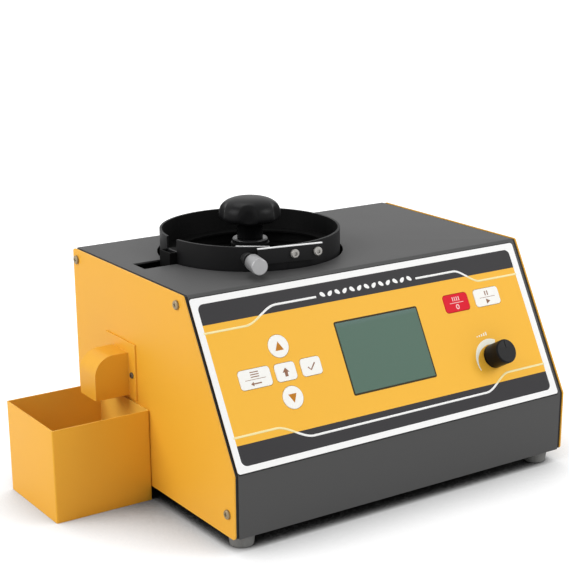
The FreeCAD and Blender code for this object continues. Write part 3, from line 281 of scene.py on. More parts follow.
def effect(tree, name, **values):
    if name not in GROUPS:
        GROUPS[name] = {"grain": build_grain, "wear_and_highlight": build_wear_and_highlight, "dust": build_dust}[name]()
    node = add(tree, "ShaderNodeGroup", node_tree=GROUPS[name])
    for label, value in values.items():
        node.inputs[label.replace("_", " ").title()].default_value = value
    return node.outputs


def rgba(shade, gain=1.0):
    return tuple(min(level * gain, 1.0) for level in shade[:3]) + (1.0,)


def build_material(name, shade, rough, metal=0.0, grain=(900, 0.5), mottle=(14, 0.06), bump=0.00012,
                   wear_and_highlight=0.35, worn_and_highlit=None, dust=0.0, coat=0.0, gloss=0.5, rough_swing=0.08, pattern=None):
    """A material from the shared effects. The shade is a colour, or the name of one of the panel's
    colours. grain and mottle are (scale, depth). pattern may add its own colour and height."""
    if isinstance(shade, str):
        shade = getattr(colours(), shade)
    if worn_and_highlit is None:
        worn_and_highlit = tuple(level + (1 - level) * 0.35 for level in shade[:3])
    material = bpy.data.materials.new(name)
    material.use_nodes = True
    tree = material.node_tree
    shader = tree.nodes["Principled BSDF"]
    surface = effect(tree, "grain", grain_scale=grain[0], grain_depth=grain[1], mottle_scale=mottle[0])
    base = blend_colours(tree, surface["Mottle"], rgba(shade, 1 - mottle[1]), rgba(shade, 1 + mottle[1]))
    height = surface["Height"]
    if pattern:
        base, height = pattern(tree, base, height)
    # The edge mask blends in the worn colour: real edge wear, and a painted highlight along the edges of
    # coats, bowl rim and metal
    base = blend_colours(tree, effect(tree, "wear_and_highlight", amount=wear_and_highlight)["Mask"], base, rgba(worn_and_highlit))
    base = blend_colours(tree, effect(tree, "dust", amount=dust)["Mask"], base, rgba(DUST_SHADE))
    tree.links.new(base, shader.inputs["Base Color"])
    swing = ramp(tree, surface["Mottle"], 0.0, 1.0, rough - rough_swing, rough + rough_swing)
    tree.links.new(swing, shader.inputs["Roughness"])
    shader.inputs["Metallic"].default_value = metal
    shader.inputs["Specular IOR Level"].default_value = gloss
    if coat:
        shader.inputs["Coat Weight"].default_value = coat
        shader.inputs["Coat Roughness"].default_value = 0.08
    relief = add(tree, "ShaderNodeBump", {"Height": height, "Distance": bump, "Strength": 0.6})
    tree.links.new(relief.outputs["Normal"], shader.inputs["Normal"])
    return material


def finish(name):
    if name not in MATERIALS:
        MATERIALS[name] = build_material(name, **FINISHES[name])
    return MATERIALS[name]


# The printed panel's places, in millimetres across and up the slope

BORDER_LEFT = -166.1
BORDER_RIGHT = 163.3
BORDER_LOW = 0.7
BORDER_HIGH = 140.05
BORDER_CORNER = 2.4
WINDOW_LEFT = -160.6
WINDOW_RIGHT = 156.9
WINDOW_LOW = 5.6
WINDOW_HIGH = 134.7
WINDOW_CORNER = 5
BAND_TOP = 117.9
BAND_LOW = 22.0
# Up the slope, where the display's painted light at its top edge starts and ends
SCREEN_PAINTED_TINT = (95.8, 100)
FILM_TOP = 0.5


# Patterns: each changes a finish's colour and may give it another height


def box_inside_painted_light(tree, base, height):
    """Painted light: the inside of the collecting box is a paler yellow than its outside."""
    low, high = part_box("collecting_box")
    axes = object_axes(tree)
    share = 1.0
    for axis, label in enumerate("XY"):
        middle = (low[axis] + high[axis]) / 2
        half = (high[axis] - low[axis]) / 2
        away = sums(tree, "ABSOLUTE", sums(tree, "SUBTRACT", axes[label], middle), 0.0)
        depth = sums(tree, "SUBTRACT", half, away)
        share = product(tree, share, ramp(tree, depth, 0.4 * MM, 0.8 * MM))
    return blend_colours(tree, share, base, rgba(tone(240, 192, 80))), height


def film_through(tree, base, height):
    """White on the dark bands, cream where the film's yellow shows through."""
    low = on_slope(0, BAND_LOW, 0).z
    high = on_slope(0, BAND_TOP, 0).z
    level = object_axes(tree)["Z"]
    soft = 0.3 * MM
    share = product(tree, ramp(tree, level, low - soft, low + soft),
                    ramp(tree, level, high + soft, high - soft))
    return blend_colours(tree, share, base, rgba(tone(255, 240, 176))), height


def bowl_inside_painted_shade(tree, base, height):
    """Painted shade: the inside of the bowl's wall is coloured darker than its outside."""
    axis = joint("clamp_turn")["pos_m"]
    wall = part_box("feed_bowl")[1].y - axis[1] - 1.4 * MM
    axes = object_axes(tree)
    flat = add(tree, "ShaderNodeCombineXYZ", {"X": axes["X"], "Y": axes["Y"]}).outputs[0]
    out = add(tree, "ShaderNodeVectorMath", {0: flat, 1: (axis[0], axis[1], 0)}, operation="DISTANCE")
    share = ramp(tree, out.outputs["Value"], wall, wall + 0.3 * MM)
    return blend_colours(tree, share, rgba(tone(7, 7, 7)), base), height


def fine_rows(spacing, dark):
    """Fine parallel lines across the height, such as stacked sheets or wound wire."""
    def pattern(tree, base, height):
        scaled = add(tree, "ShaderNodeVectorMath", {0: object_place(tree), 1: (0.0, 0.0, 1 / spacing)},
                     operation="MULTIPLY").outputs[0]
        wave = add(tree, "ShaderNodeTexWave", {"Vector": scaled, "Scale": 1.0, "Distortion": 0.4},
                   wave_type="BANDS", bands_direction="Z").outputs["Fac"]
        return blend_colours(tree, product(tree, wave, 0.5), base, rgba(dark)), wave
    return pattern


def board_traces(tree, base, height):
    cells = add(tree, "ShaderNodeTexVoronoi", {"Vector": object_place(tree), "Scale": 260.0},
                distance="MANHATTAN", feature="F1").outputs["Distance"]
    track = ramp(tree, cells, 0.55, 0.6)
    return blend_colours(tree, track, base, rgba(tone(60, 130, 70))), track


def screen_dots(tree, base, height):
    """The display at rest: a fine dot grid, with painted light that makes it bluer and paler towards its
    top edge.
    """
    start, end = [on_slope(0, up, 0).z for up in SCREEN_PAINTED_TINT]
    painted_tint = ramp(tree, object_axes(tree)["Z"], start, end)
    base = blend_colours(tree, product(tree, painted_tint, 0.4), base, rgba(tone(106, 128, 130)))
    grid = add(tree, "ShaderNodeTexChecker",
               {"Vector": object_place(tree), "Scale": 1 / (0.9 * MM)}).outputs["Fac"]
    return blend_colours(tree, product(tree, grid, 0.04), base, rgba(tone(60, 84, 70))), grid


def bare_and_highlit_top(node):
    """The node's top edge: bare bright metal, and a painted highlight that whitens its faces within 0.9 mm
    of the top.
    """
    def pattern(tree, base, height):
        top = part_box(node)[1].z
        share = ramp(tree, object_axes(tree)["Z"], top - 0.9 * MM, top - 0.7 * MM)
        return blend_colours(tree, share, base, rgba(tone(252, 252, 252))), height
    return pattern


# The worn colour on edges stands both for wear and for a painted edge highlight
COAT = dict(shade="panel_yellow", rough=0.48, grain=(1500, 0.2), mottle=(7, 0.01), bump=0.00005,
            worn_and_highlit=tone(255, 214, 134), gloss=0.25, rough_swing=0.02)
INK = dict(rough=0.55, grain=(2600, 0.15), mottle=(8, 0.01), bump=0.00002, wear_and_highlight=0.1, gloss=0.15,
           rough_swing=0.02)
KEY = dict(rough=0.45, grain=(1800, 0.2), mottle=(12, 0.01), bump=0.00003, wear_and_highlight=0.2, gloss=0.1,
           rough_swing=0.03)
GATE = dict(shade=tone(19, 19, 20), rough=0.5, grain=(1100, 0.3), mottle=(14, 0.05), wear_and_highlight=0.1,
            gloss=0.15, rough_swing=0.04)
SCREW = dict(grain=(1600, 0.4), mottle=(60, 0.05))
DUSTY = 0.04

FINISHES = {
    "yellow_powder_coat": dict(COAT, wear_and_highlight=0.7),
    # The box's coat, with painted light on its inside faces
    "box_powder_coat": dict(COAT, wear_and_highlight=0.8, pattern=box_inside_painted_light),
    "grey_powder_coat": dict(shade="case_grey", rough=0.52, grain=(1700, 0.2), mottle=(7, 0.01),
                             bump=0.00004, worn_and_highlit=tone(140, 140, 140), wear_and_highlight=0.3, gloss=0.22,
                             rough_swing=0.02),
    "black_seal": dict(shade=tone(20, 20, 21), rough=0.6, grain=(700, 0.4), wear_and_highlight=0.15, dust=0.02,
                       gloss=0.3),
    "yellow_film": dict(shade="film_yellow", rough=0.5, grain=(2400, 0.2), mottle=(6, 0.01),
                        bump=0.00003, wear_and_highlight=0.2, gloss=0.2, rough_swing=0.02),
    "white_ink": dict(INK, shade="ink_white"),
    "line_ink": dict(INK, shade="ink_white", pattern=film_through),
    "dark_ink": dict(INK, shade="ink_dark"),
    "edge_ink": dict(INK, shade=tone(26, 26, 26)),
    # Dark ink for the painted shadow along the film's edges
    "frame_ink": dict(INK, shade=tone(58, 46, 22)),
    "cream_ink": dict(INK, shade=tone(255, 253, 236)),
    "pink_ink": dict(INK, shade=tone(255, 214, 214)),
    "ochre_ink": dict(INK, shade="ink_ochre"),
    "brown_ink": dict(INK, shade="ink_brown"),
    "red_key": dict(KEY, shade="key_red"),
    "white_key": dict(KEY, shade="key_white"),
    "screen_glass": dict(shade="screen_green", rough=0.4, grain=(600, 0.1), mottle=(10, 0.015),
                         bump=0.00001, wear_and_highlight=0.0, coat=0.04, gloss=0.08, rough_swing=0.03,
                         pattern=screen_dots),
    # The bowl, with painted shade inside its wall
    "bowl_plastic": dict(shade="bowl_black", rough=0.5, grain=(1200, 0.4), mottle=(12, 0.06),
                         worn_and_highlit=tone(80, 80, 81), wear_and_highlight=0.8, gloss=0.15, rough_swing=0.04,
                         pattern=bowl_inside_painted_shade),
    "track_plastic": dict(shade=tone(12, 12, 12), rough=0.7, mottle=(18, 0.1), wear_and_highlight=0.0, gloss=0.04),
    "guide_plastic": dict(shade=tone(12, 12, 12), rough=0.6, grain=(900, 0.4), mottle=(18, 0.1),
                          worn_and_highlit=tone(60, 60, 60), wear_and_highlight=0.4, gloss=0.08),
    "glossy_black": dict(shade="plastic_black", rough=0.36, grain=(1500, 0.2), mottle=(14, 0.05),
                         worn_and_highlit=tone(60, 60, 62), wear_and_highlight=0.3, gloss=0.1, rough_swing=0.03),
    "dull_black": dict(shade="plastic_black", rough=0.48, grain=(1300, 0.5), mottle=(20, 0.1), wear_and_highlight=0.3,
                       dust=0.02),
    "gate_plate_metal": dict(GATE, pattern=bare_and_highlit_top("gate_plate")),
    "gate_strip_metal": dict(GATE, pattern=bare_and_highlit_top("gate_strip")),
    "bright_steel": dict(SCREW, shade="bright_metal", rough=0.4, metal=0.6, worn_and_highlit=tone(214, 212, 208),
                         wear_and_highlight=0.5),
    "case_screw": dict(SCREW, shade=tone(150, 134, 104), rough=0.42, metal=0.5,
                       worn_and_highlit=tone(200, 186, 150), wear_and_highlight=0.4),
    # Hood screws: coloured darker for the hood's shadow on them, a painted shade
    "dull_screw": dict(SCREW, shade=tone(92, 86, 76), rough=0.45, metal=0.4, wear_and_highlight=0.2),
    "turned_steel": dict(shade=tone(160, 160, 161), rough=0.4, metal=0.55, grain=(1400, 0.4),
                         mottle=(50, 0.05), worn_and_highlit=tone(225, 225, 225), wear_and_highlight=0.8),
    "dark_steel": dict(shade=tone(20, 20, 21), rough=0.3, metal=0.1, grain=(1100, 0.4), mottle=(30, 0.1),
                       worn_and_highlit=tone(120, 120, 120), wear_and_highlight=0.5),
    "zinc_sheet": dict(shade=tone(150, 152, 154), rough=0.42, metal=0.8, grain=(400, 0.4),
                       mottle=(40, 0.14), dust=0.03),
    "foot_rubber": dict(shade=tone(122, 122, 120), rough=0.6, grain=(800, 0.6), mottle=(40, 0.08),
                        dust=0.06, gloss=0.3),
    "cast_base": dict(shade=tone(78, 80, 84), rough=0.55, metal=0.3, grain=(380, 1.0), mottle=(26, 0.15),
                      bump=0.0004, dust=DUSTY),
    "nylon": dict(shade=tone(226, 222, 208), rough=0.45, grain=(1000, 0.3), mottle=(24, 0.04),
                  dust=DUSTY),
    "core_stack": dict(shade=tone(120, 122, 126), rough=0.4, metal=0.8, bump=0.0003, dust=DUSTY,
                       pattern=fine_rows(0.5 * MM, tone(50, 50, 52))),
    "coil_copper": dict(shade=tone(176, 92, 46), rough=0.32, metal=0.8, bump=0.0004, dust=DUSTY,
                        pattern=fine_rows(0.8 * MM, tone(96, 44, 20))),
    "board_green": dict(shade=tone(22, 84, 46), rough=0.35, wear_and_highlight=0.1, dust=DUSTY, pattern=board_traces),
}


# Mesh helpers


def new_object(name, mesh, surface=None, body=None):
    """A linked object with its finish. Without a body it is no piece, only a helper."""
    thing = bpy.data.objects.new(name, mesh)
    bpy.context.scene.collection.objects.link(thing)
    if surface:
        mesh.materials.clear()
        mesh.materials.append(finish(surface))
    if body:
        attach(thing, body)
    return thing


def solid_mesh(form, name, smooth=35):
    """A mesh from a bmesh, with outward faces and sharp edges kept over an angle."""
    bmesh.ops.recalc_face_normals(form, faces=form.faces)
    mesh = bpy.data.meshes.new(name)
    form.to_mesh(mesh)
    form.free()
    mesh.shade_smooth()
    mesh.set_sharp_from_angle(angle=math.radians(smooth))
    return mesh


def merged_copy(node):
    """A copy of a node's mesh with its loose triangles joined."""
    form = bmesh.new()
    form.from_mesh(NODES[node].data)
    bmesh.ops.remove_doubles(form, verts=form.verts, dist=0.002 * MM)
    return form


def applied(thing):
    """The mesh of an object with its modifiers applied."""
    bpy.context.view_layer.update()
    done = thing.evaluated_get(bpy.context.evaluated_depsgraph_get())
    return bpy.data.meshes.new_from_object(done)


def dress(node, surface, edge, steps=2):
    """A copy of a node with whole flat faces and rounded edges, which stands for it."""
    form = merged_copy(node)
    bmesh.ops.dissolve_limit(form, angle_limit=math.radians(0.08), verts=form.verts, edges=form.edges)
    scratch = new_object(node + "_scratch", solid_mesh(form, node + "_form", 30))
    bevel = scratch.modifiers.new("rounding", "BEVEL")
    bevel.width = edge
    bevel.segments = steps
    bevel.limit_method = "ANGLE"
    bevel.angle_limit = math.radians(32)
    bevel.harden_normals = True
    result = applied(scratch)
    bpy.data.objects.remove(scratch)
    thing = new_object(node + "_finished", result, surface, NODES[node]["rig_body"])
    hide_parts(node)


def paint(surface, *names):
    """Give CAD nodes their material."""
    material = finish(surface)
    for name in names:
        slots = NODES[name].material_slots
        if not slots:
            NODES[name].data.materials.append(material)
        for entry in slots:
            entry.material = material


def box_outline(left, right, low, high):
    return [(left, low), (right, low), (right, high), (left, high)]


def rounded_outline(left, right, low, high, radius, steps=6):
    """Points round a box with rounded corners, anticlockwise from the lower right."""
    points = []
    corners = ((right - radius, low + radius, -90), (right - radius, high - radius, 0),
               (left + radius, high - radius, 90), (left + radius, low + radius, 180))
    for x, y, start in corners:
        for step in range(steps + 1):
            angle = math.radians(start + 90 * step / steps)
            points.append((x + radius * math.cos(angle), y + radius * math.sin(angle)))
    return points


def prism(form, low, high):
    """A closed solid between two outlines with as many points each."""
    under = [form.verts.new(place) for place in low]
    over = [form.verts.new(place) for place in high]
    form.faces.new(over)
    form.faces.new(list(reversed(under)))
    for index in range(len(under)):
        after = (index + 1) % len(under)
        form.faces.new((under[index], under[after], over[after], over[index]))


def plate(form, points, low, high):
    """A thin closed plate on the slope, from an outline in its own millimetres."""
    prism(form, [on_slope(s, t, low) for s, t in points], [on_slope(s, t, high) for s, t in points])


def ring_plate(form, outer, inner, low, high):
    """A thin closed ring on the slope, between two outlines with as many points each."""
    loops = []
    for points, level in ((outer, low), (outer, high), (inner, high), (inner, low)):
        loops.append([form.verts.new(on_slope(s, t, level)) for s, t in points])
    count = len(outer)
    for index in range(4):
        one, two = loops[index], loops[(index + 1) % 4]
        for corner in range(count):
            after = (corner + 1) % count
            form.faces.new((one[corner], one[after], two[after], two[corner]))


def printed(name, form, surface, body="root"):
    """A printed piece on the key panel or on a key."""
    new_object(name, solid_mesh(form, name), surface, body)


def lathe(form, profile, axis_at, turns, spread=None):
    """Turn an outline of (radius, height) about an upright axis. spread may change each radius."""
    rings = []
    for radius, height in profile:
        if not radius:
            rings.append([form.verts.new(axis_at + Vector((0, 0, height)))])
            continue
        ring = []
        for step in range(turns):
            angle = 2 * math.pi * step / turns
            out = spread(radius, angle) if spread else radius
            place = Vector((out * math.cos(angle), out * math.sin(angle), height))
            ring.append(form.verts.new(axis_at + place))
        rings.append(ring)
    for one, two in zip(rings, rings[1:]):
        for step in range(turns):
            after = (step + 1) % turns
            if len(one) == 1:
                form.faces.new((one[0], two[step], two[after]))
            elif len(two) == 1:
                form.faces.new((one[step], one[after], two[0]))
            else:
                form.faces.new((one[step], one[after], two[after], two[step]))


def solids(node):
    """The separate solids of a node, as (lowest corner, highest corner)."""
    form = merged_copy(node)
    form.verts.ensure_lookup_table()
    seen = set()
    found = []
    for start in form.verts:
        if start.index in seen:
            continue
        seen.add(start.index)
        queue = [start]
        low = start.co.copy()
        high = start.co.copy()
        while queue:
            vert = queue.pop()
            low = Vector(map(min, low, vert.co))
            high = Vector(map(max, high, vert.co))
            for edge in vert.link_edges:
                other = edge.other_vert(vert)
                if other.index not in seen:
                    seen.add(other.index)
                    queue.append(other)
        found.append((low, high))
    form.free()
    return sorted(found, key=lambda pair: tuple(round(level, 5) for level in pair[0]))


# Geometry node trees


def geometry_tree(name, inputs):
    tree = bpy.data.node_groups.new(name, "GeometryNodeTree")
    sockets = (("Geometry", "Geometry"),) + inputs + (("Material", "Material"),)
    for label, kind in sockets:
        tree.interface.new_socket(name=label, in_out="INPUT", socket_type="NodeSocket" + kind)
    tree.interface.new_socket(name="Geometry", in_out="OUTPUT", socket_type="NodeSocketGeometry")
    return tree, tree.nodes.new("NodeGroupInput").outputs, tree.nodes.new("NodeGroupOutput").inputs


def end_tree(tree, shape, given, wanted):
    whole = add(tree, "GeometryNodeRealizeInstances", {"Geometry": shape}).outputs["Geometry"]
    painted = add(tree, "GeometryNodeSetMaterial", {"Geometry": whole, "Material": given["Material"]})
    tree.links.new(painted.outputs["Geometry"], wanted["Geometry"])


def screw_tree():
    """Screw heads on points: each point's own direction aims its head, with a turn of its own."""
    tree, given, wanted = geometry_tree(
        "screw_heads", (("Head", "Object"), ("Head Radius", "Float"), ("Seed", "Int")))
    head = add(tree, "GeometryNodeObjectInfo", {"Object": given["Head"]}).outputs["Geometry"]
    aim = add(tree, "GeometryNodeInputNamedAttribute", {"Name": "aim"}, data_type="FLOAT_VECTOR")
    aimed = add(tree, "FunctionNodeAlignRotationToVector", {"Vector": aim.outputs["Attribute"]},
                axis="Z").outputs["Rotation"]
    turn = add(tree, "FunctionNodeRandomValue", {2: 0.0, 3: math.pi / 2, "Seed": given["Seed"]},
               data_type="FLOAT")
    spin = add(tree, "FunctionNodeAxisAngleToRotation",
               {"Axis": (0.0, 0.0, 1.0), "Angle": turn.outputs[1]}).outputs[0]
    both = add(tree, "FunctionNodeRotateRotation", {"Rotation": aimed, "Rotate By": spin},
               rotation_space="LOCAL")
    placed = add(tree, "GeometryNodeInstanceOnPoints", {
        "Points": given["Geometry"], "Instance": head, "Rotation": both.outputs[0],
        "Scale": given["Head Radius"]})
    end_tree(tree, placed.outputs["Instances"], given, wanted)
    return tree


def line_tree():
    """A printed line: a flat strip along a path."""
    tree, given, wanted = geometry_tree("printed_line", (("Width", "Float"), ("Thickness", "Float")))
    path = add(tree, "GeometryNodeMeshToCurve", {"Mesh": given["Geometry"]}).outputs["Curve"]
    upright = add(tree, "GeometryNodeSetCurveNormal", {"Curve": path})
    upright.mode = "Z_UP"
    section = add(tree, "GeometryNodeCurvePrimitiveQuadrilateral",
                  {"Width": given["Width"], "Height": given["Thickness"]}).outputs["Curve"]
    strip = add(tree, "GeometryNodeCurveToMesh", {
        "Curve": upright.outputs["Curve"], "Profile Curve": section, "Fill Caps": True})
    end_tree(tree, strip.outputs["Mesh"], given, wanted)
    return tree


def seed_tree():
    """A row of seed marks, leaning to one side and the other in turn."""
    tree, given, wanted = geometry_tree(
        "seed_row", (("Seed Form", "Object"), ("Count", "Int"), ("Step", "Float"), ("Lean", "Float")))
    last = sums(tree, "SUBTRACT", given["Count"], 1.0)
    half = product(tree, last, given["Step"], -0.5)
    start = add(tree, "ShaderNodeCombineXYZ", {"X": half}).outputs[0]
    offset = add(tree, "ShaderNodeCombineXYZ", {"X": given["Step"]}).outputs[0]
    line = add(tree, "GeometryNodeMeshLine", {
        "Count": given["Count"], "Start Location": start, "Offset": offset}, mode="OFFSET").outputs["Mesh"]
    odd = sums(tree, "MODULO", add(tree, "GeometryNodeInputIndex").outputs["Index"], 2.0)
    sign = sums(tree, "SUBTRACT", product(tree, odd, 2.0), 1.0)
    lean = add(tree, "ShaderNodeCombineXYZ", {"Z": product(tree, sign, given["Lean"])}).outputs[0]
    form = add(tree, "GeometryNodeObjectInfo", {"Object": given["Seed Form"]}).outputs["Geometry"]
    placed = add(tree, "GeometryNodeInstanceOnPoints", {"Points": line, "Instance": form, "Rotation": lean})
    end_tree(tree, placed.outputs["Instances"], given, wanted)
    return tree


TREES = {}


def grown(kind, mesh, **values):
    """The plain mesh that a geometry node tree makes from a base mesh."""
    if kind not in TREES:
        TREES[kind] = {"screws": screw_tree, "line": line_tree, "seeds": seed_tree}[kind]()
    tree = TREES[kind]
    base = new_object(kind + "_base", mesh)
    modifier = base.modifiers.new(kind, "NODES")
    modifier.node_group = tree
    for item in tree.interface.items_tree:
        key = item.name.lower().replace(" ", "_")
        if item.item_type == "SOCKET" and item.in_out == "INPUT" and key in values:
            modifier[item.identifier] = values[key]
    result = applied(base)
    bpy.data.objects.remove(base)
    return result


def set_screws(name, spots, radius, surface, head, seed):
    """One mesh of screw heads: a spot is the head's seat and the way it looks."""
    points = bpy.data.meshes.new(name + "_points")
    points.from_pydata([tuple(place) for place, way in spots], [], [])
    aims = points.attributes.new("aim", "FLOAT_VECTOR", "POINT")
    for index, (place, way) in enumerate(spots):
        aims.data[index].vector = way
    mesh = grown("screws", points, head=head, head_radius=radius, seed=seed, material=finish(surface))
    return new_object(name, mesh, surface, "root")


def screw_head():
    """A pan head of radius 1 with a cross pressed into it."""
    crown, edge, recess = 0.56, 0.28, 0.34
    arm_long, arm_half, taper = 0.62, 0.13, 0.7
    profile = [(0.0, -0.02), (0.97, -0.02), (1.0, 0.06)]
    for step in range(7):
        angle = math.radians(90 * step / 6)
        profile.append((1 - edge + edge * math.cos(angle), crown - edge + edge * math.sin(angle)))
    profile.append((0.0, crown + 0.03))
    form = bmesh.new()
    lathe(form, profile, Vector(), 48)
    head = new_object("pan_head", solid_mesh(form, "pan_head"))
    arm = [(arm_long, -arm_half), (arm_long, arm_half), (arm_half, arm_half)]
    cross = []
    for quarter in range(4):
        cross += arm
        arm = [(-y, x) for x, y in arm]
    form = bmesh.new()
    prism(form, [(x * taper, y * taper, crown - recess) for x, y in cross],
          [(x, y, crown + 0.3) for x, y in cross])
    tool = new_object("cross_tool", solid_mesh(form, "cross_tool"))
    press = head.modifiers.new("recess", "BOOLEAN")
    press.operation = "DIFFERENCE"
    press.solver = "EXACT"
    press.object = tool
    mesh = applied(head)
    mesh.set_sharp_from_angle(angle=math.radians(35))
    for thing in (head, tool):
        bpy.data.objects.remove(thing)
    return new_object("pan_head", mesh)


# Operators


class SEEDCOUNTER_OT_case(bpy.types.Operator):
    """Paint the console: side panels, seals, cover, tray, rear panel and feet"""
    bl_idname = "seedcounter.case"
    bl_label = "Console"

    def execute(self, context):
        size = sizes()
        for side in ("left", "right"):
            dress(side + "_side_panel", "yellow_powder_coat", size.edge_panel)
            dress(side + "_edge_seal", "black_seal", size.edge_fine)
        dress("top_front_cover", "grey_powder_coat", size.edge_fine)
        dress("rear_panel", "grey_powder_coat", size.edge_fine)
        paint("zinc_sheet", "base_tray")
        paint("dull_black", "corner_blocks")
        dress("feet", "foot_rubber", 0.8 * MM, 3)
        return {"FINISHED"}


# Each printed line bends twice: start and end of the bend, height before and after it
TOP_BENDS = ((-124, -92, 111.6, 124.1), (90, 115.5, 124.1, 111.8))
LOW_BENDS = ((-123, -91, 28.4, 16.1), (87, 116.5, 16.1, 28.9))
TITLE_LEFT = -52.9
TITLE_RIGHT = 49
LINE_STEP = 1.5

# The display's frame: half its opening's height, its width, the gap beside the glass
LENS_HALF_HIGH = 29.8
FRAME_WIDE = 1.3
FRAME_GAP = 0.1

# The swelling mark round the dial, and the rising bars over it
MARK_SHIFT = (-1.2, -2.0)
MARK_RADIUS = 17.9
MARK_START = 205.0
MARK_END = 62.0
MARK_STEPS = 40
MARK_THIN = 0.8
MARK_SWELL = 4.2
BARS = 5
BARS_LEFT = -10.2
BARS_UP = 21
BAR_STEP = 2.5
BAR_WIDE = 1.3
BAR_LOWEST = 0.9
BAR_RISE = 0.55

# A seed mark, half its length and width, and the row's middle
SEED_POINTS = 28
SEED_LONG = 2.75
SEED_WIDE = 1.65
SEED_TAPER = 0.22
SEED_LEAN = 38
SEED_ROW = (-1.95, 125.1)


def line_height(bends, across):
    start, end, before, after = bends[0 if across < 0 else 1]
    share = min(max((across - start) / (end - start), 0), 1)
    return before + (after - before) * share * share * (3 - 2 * share)


def node_middle(name):
    low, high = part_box(name)
    return across_and_up((low + high) / 2)


class SEEDCOUNTER_OT_overlay(bpy.types.Operator):
    """Print the key panel: film, dark bands, white border and lines, dial mark, seed marks"""
    bl_idname = "seedcounter.overlay"
    bl_label = "Printed panel"

    def execute(self, context):
        size = sizes()
        dress("front_overlay", "yellow_film", 0.12 * MM)
        layer = size.ink_thick / MM
        self.bands(layer)
        self.border(layer)
        self.film_edges()
        self.lines(size, layer)
        self.display_frame(layer)
        self.dial_mark(layer)
        self.seed_row(size, layer)
        return {"FINISHED"}

    def bands(self, layer):
        form = bmesh.new()
        lap = 2
        for low, high in ((BAND_TOP, WINDOW_HIGH + lap), (WINDOW_LOW - lap, BAND_LOW)):
            plate(form, box_outline(WINDOW_LEFT - lap, WINDOW_RIGHT + lap, low, high),
                  FILM_TOP, FILM_TOP + layer)
        printed("panel_bands", form, "dark_ink")

    def border(self, layer):
        form = bmesh.new()
        ring_plate(form, rounded_outline(BORDER_LEFT, BORDER_RIGHT, BORDER_LOW, BORDER_HIGH, BORDER_CORNER),
                   rounded_outline(WINDOW_LEFT, WINDOW_RIGHT, WINDOW_LOW, WINDOW_HIGH, WINDOW_CORNER),
                   FILM_TOP, FILM_TOP + 2 * layer)
        printed("panel_border", form, "white_ink")

    def film_edges(self):
        """Painted shadow: a dark line along the film's lower and upper edge."""
        form = bmesh.new()
        for low, high in ((-0.3, BORDER_LOW + 0.1), (BORDER_HIGH - 0.15, BORDER_HIGH + 0.75)):
            plate(form, box_outline(BORDER_LEFT + 1, BORDER_RIGHT - 1, low, high), -0.3, FILM_TOP - 0.1)
        printed("film_edges", form, "edge_ink")

    def lines(self, size, layer):
        left, right = WINDOW_LEFT - 1, WINDOW_RIGHT + 1
        points = []
        links = []
        for bends, start, end in ((TOP_BENDS, left, TITLE_LEFT), (TOP_BENDS, TITLE_RIGHT, right),
                                  (LOW_BENDS, left, right)):
            count = int((end - start) / LINE_STEP)
            for step in range(count + 1):
                across = start + (end - start) * step / count
                if step:
                    links.append((len(points) - 1, len(points)))
                points.append((across * MM, line_height(bends, across) * MM, 0))
        path = bpy.data.meshes.new("line_path")
        path.from_pydata(points, links, [])
        mesh = grown("line", path, width=size.line_wide, thickness=size.ink_thick,
                     material=finish("line_ink"))
        mesh.transform(slope_frame(0, 0, FILM_TOP + 1.6 * layer))
        new_object("panel_lines", mesh, "line_ink", "root")

    def display_frame(self, layer):
        low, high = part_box("lcd_lens")
        left = (low.x - MIDDLE) / MM
        right = (high.x - MIDDLE) / MM
        edge_low = across_and_up(Vector((0, low.y, low.z)))[1]
        edge_high = across_and_up(Vector((0, high.y, high.z)))[1]
        middle = (edge_low + edge_high) / 2
        reach = LENS_HALF_HIGH + FRAME_WIDE
        form = bmesh.new()
        ring_plate(form, rounded_outline(left - FRAME_WIDE, right + FRAME_WIDE,
                                         middle - reach, middle + reach, 1.8),
                   rounded_outline(left - FRAME_GAP, right + FRAME_GAP,
                                   middle - LENS_HALF_HIGH, middle + LENS_HALF_HIGH, 0.5),
                   FILM_TOP, FILM_TOP + 1.2 * layer)
        printed("display_frame", form, "frame_ink")

    def dial_mark(self, layer):
        across, up = across_and_up(DIAL)
        across += MARK_SHIFT[0]
        up += MARK_SHIFT[1]
        outer = []
        inner = []
        for step in range(MARK_STEPS + 1):
            share = step / MARK_STEPS
            angle = math.radians(MARK_START + (MARK_END - MARK_START) * share)
            wide = MARK_THIN + MARK_SWELL * math.sin(math.pi * min(share * 0.72, 0.5)) ** 1.6
            for points, radius in ((outer, MARK_RADIUS), (inner, MARK_RADIUS - wide)):
                points.append((across + radius * math.cos(angle), up + radius * math.sin(angle)))
        form = bmesh.new()
        plate(form, inner + list(reversed(outer)), FILM_TOP, FILM_TOP + layer)
        for number in range(BARS):
            left = across + BARS_LEFT + number * BAR_STEP
            low = up + BARS_UP
            plate(form, box_outline(left, left + BAR_WIDE, low, low + BAR_LOWEST + BAR_RISE * number),
                  FILM_TOP, FILM_TOP + layer)
        printed("dial_mark", form, "cream_ink")

    def seed_row(self, size, layer):
        ring = []
        for step in range(SEED_POINTS):
            angle = 2 * math.pi * step / SEED_POINTS
            narrow = 1 - SEED_TAPER * math.cos(angle)
            ring.append((SEED_LONG * math.cos(angle) * MM, SEED_WIDE * math.sin(angle) * narrow * MM))
        form = bmesh.new()
        prism(form, [(x, y, 0) for x, y in ring], [(x, y, layer * MM) for x, y in ring])
        seed = new_object("seed_form", solid_mesh(form, "seed_form"))
        mesh = grown("seeds", bpy.data.meshes.new("seed_base"), seed_form=seed, count=size.seeds,
                     step=size.seed_step, lean=math.radians(SEED_LEAN), material=finish("white_ink"))
        bpy.data.objects.remove(seed)
        mesh.transform(slope_frame(*SEED_ROW, FILM_TOP + layer))
        new_object("seed_marks", mesh, "white_ink", "root")


# The key caps' faces, in millimetres out of the slope
KEY_TOP = 0.9


